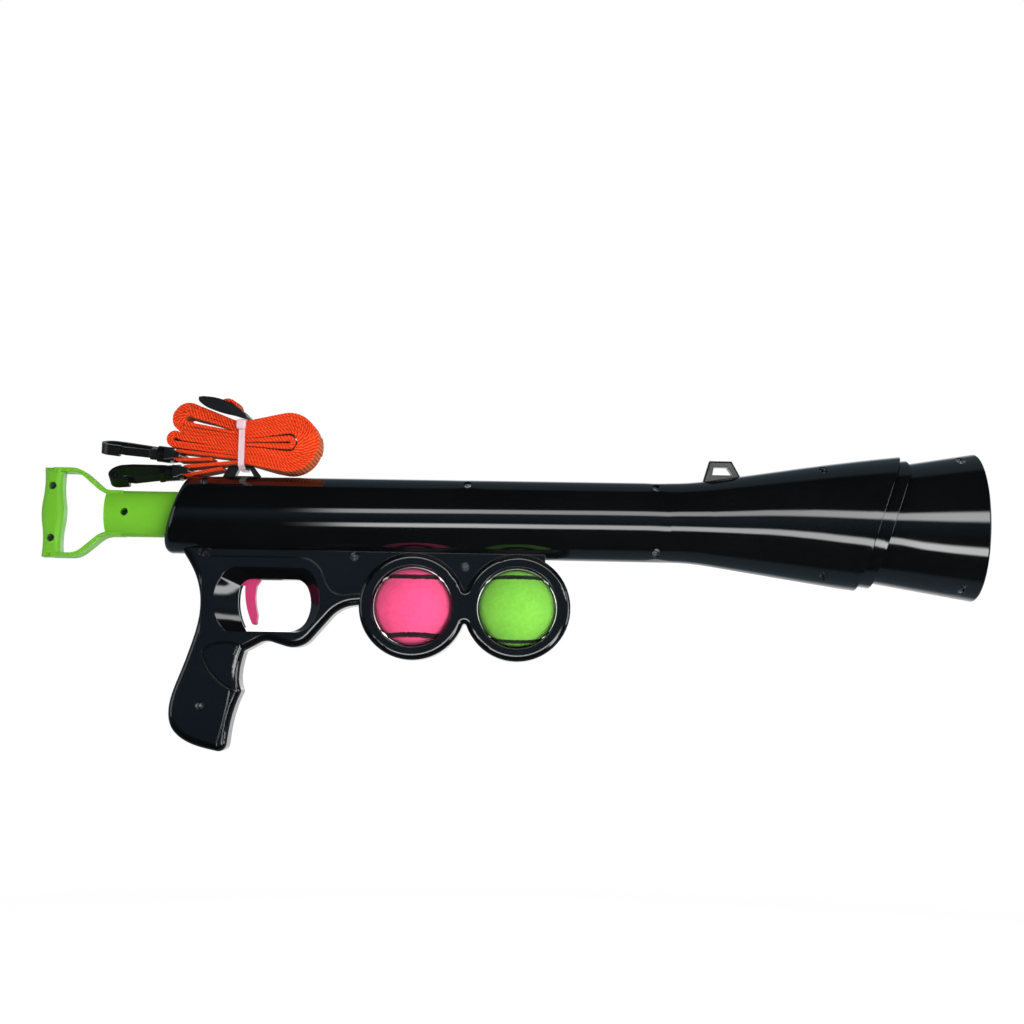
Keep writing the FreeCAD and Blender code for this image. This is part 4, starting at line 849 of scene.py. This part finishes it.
# their rings, as in the CAD, and their radius over the felt
RING_Z = 0.0605
RINGS_X = (0.1682, 0.2507)
FELT_R = 0.03145
FELT_NAP = 0.00025
SEAM_POINTS = 2400
SEAM_HALF_WIDTH = 0.100
SEAM_FADE = 0.010
SEAM_DEPTH = 0.0007
# the seam's lip: its height, how far it stands off the seam's edge and its spread
SEAM_LIP = (0.00025, 0.02, 0.015)
# ragged edge of the felt: every so many seam points, by so much
RAGGED_COARSE = (6, 0.008)
RAGGED_FINE = (2, 0.006)
NEAREST_BATCH = 4000


def seam_curve(b):
    """Points along a tennis ball's seam on the unit sphere; b sets how near its lobes come."""
    t = np.linspace(0, 2 * math.pi, SEAM_POINTS, endpoint=False)
    a = 1 - b
    curve = np.stack([a * np.cos(t) + b * np.cos(3 * t), a * np.sin(t) - b * np.sin(3 * t),
                      2 * math.sqrt(a * b) * np.sin(2 * t)], 1)
    return curve / np.linalg.norm(curve, axis=1)[:, None]


def ragged(rng, step, amount):
    """A random wander along the seam, with a knot every so many points."""
    knots = np.arange(0, SEAM_POINTS, step)
    return np.interp(np.arange(SEAM_POINTS), knots, rng.normal(0, amount, len(knots)))


def felt_ball(name, node, x, turn, neck, material, seed):
    """A felt ball in its ring, with its seam sunk into it."""
    bm = bmesh.new()
    bmesh.ops.create_icosphere(bm, subdivisions=7, radius=1.0)
    mesh = bpy.data.meshes.new(name)
    bm.to_mesh(mesh)
    bm.free()
    co = np.empty(len(mesh.vertices) * 3)
    mesh.vertices.foreach_get("co", co)
    co = co.reshape(-1, 3)
    rng = np.random.default_rng(seed)
    curve = seam_curve(neck)
    nearest = np.zeros(len(co))
    index = np.zeros(len(co), int)
    for i in range(0, len(co), NEAREST_BATCH):
        dots = co[i:i + NEAREST_BATCH] @ curve.T
        index[i:i + NEAREST_BATCH] = dots.argmax(1)
        nearest[i:i + NEAREST_BATCH] = np.arccos(np.clip(dots.max(1), -1, 1))
    edge = ragged(rng, *RAGGED_COARSE)
    edge += ragged(rng, *RAGGED_FINE)
    width = SEAM_HALF_WIDTH + edge[index]
    inside = np.clip((width - nearest) / SEAM_FADE, 0, 1)
    lip, off, spread = SEAM_LIP
    radius = FELT_R - FELT_NAP - SEAM_DEPTH * inside
    radius = radius + lip * np.exp(-((nearest - width - off) / spread) ** 2)
    co = co * radius[:, None]
    mesh.vertices.foreach_set("co", co.reshape(-1))
    tone = np.zeros((len(co), 4))
    tone[:, 0] = inside
    tone[:, 3] = 1
    paint(mesh, "seam", tone)
    mesh.transform(turn)
    mesh.transform(Matrix.Translation((x, 0, RING_Z)))
    mesh.update()
    ball = add_piece(name, mesh, material)
    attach(ball, node)
    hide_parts(node)


def turned_to(tilt):
    """The ball's own Z towards the camera, then tilted by so many degrees."""
    face = Matrix.Rotation(math.radians(90), 4, "X")
    own = Matrix.Rotation(math.radians(45), 4, "Z")
    return Matrix.Rotation(math.radians(tilt), 4, "X") @ face @ own


def add_balls(made):
    felt_ball("pink_felt_ball", "pink_ball", RINGS_X[0], turned_to(0), 0.13, made["pink_ball"], 3)
    felt_ball("green_felt_ball", "green_ball", RINGS_X[1], turned_to(5), 0.087,
              made["green_ball"], 4)


# Floor

FLOOR_Z = -0.33
FLOOR_HALF = 30.0
FLOOR_COLOUR = (0.80, 0.80, 0.80)
FLOOR_GLOW = 0.53
# the floor is itself up to the first distance from the middle, and white from the second
FLOOR_MIDDLE = (0.25, 0.1, 0)
FLOOR_FADE = (0.7, 1.7)


def add_floor():
    """A pale floor that keeps the object's shadow and fades to white further off."""
    mesh = bpy.data.meshes.new("floor")
    corners = [(x * FLOOR_HALF, y * FLOOR_HALF, FLOOR_Z)
               for x, y in ((-1, -1), (1, -1), (1, 1), (-1, 1))]
    mesh.from_pydata(corners, [], [(0, 1, 2, 3)])
    stuff = Stuff("pale_floor", FLOOR_COLOUR, 0.9)
    nodes, links = stuff.nodes, stuff.links
    plain = stuff.shader.outputs[0]
    glow = nodes.new("ShaderNodeEmission")
    glow.inputs["Strength"].default_value = FLOOR_GLOW
    white = nodes.new("ShaderNodeEmission")
    white.inputs["Strength"].default_value = 1.0
    total = nodes.new("ShaderNodeAddShader")
    links.new(plain, total.inputs[0])
    links.new(glow.outputs[0], total.inputs[1])
    reach = nodes.new("ShaderNodeVectorMath")
    reach.operation = "DISTANCE"
    reach.inputs[1].default_value = FLOOR_MIDDLE
    links.new(stuff.coords, reach.inputs[0])
    off = map_range(nodes, links, reach.outputs["Value"], *FLOOR_FADE).outputs[0]
    fade = mixed_shader(nodes, links, off, total.outputs[0], white.outputs[0])
    path = nodes.new("ShaderNodeLightPath")
    seen = mixed_shader(nodes, links, path.outputs["Is Camera Ray"], plain, fade)
    links.new(seen, nodes["Material Output"].inputs[0])
    floor = add_piece("floor", mesh, stuff.material)
    floor.visible_glossy = False


def main():
    add_camera()
    add_lights()
    add_world()
    made = make_materials()
    dress_frame(made)
    shorten_springs()
    add_webbing(made)
    add_adjuster_side(made)
    add_balls(made)
    add_floor()
    bpy.context.view_layer.update()


main()
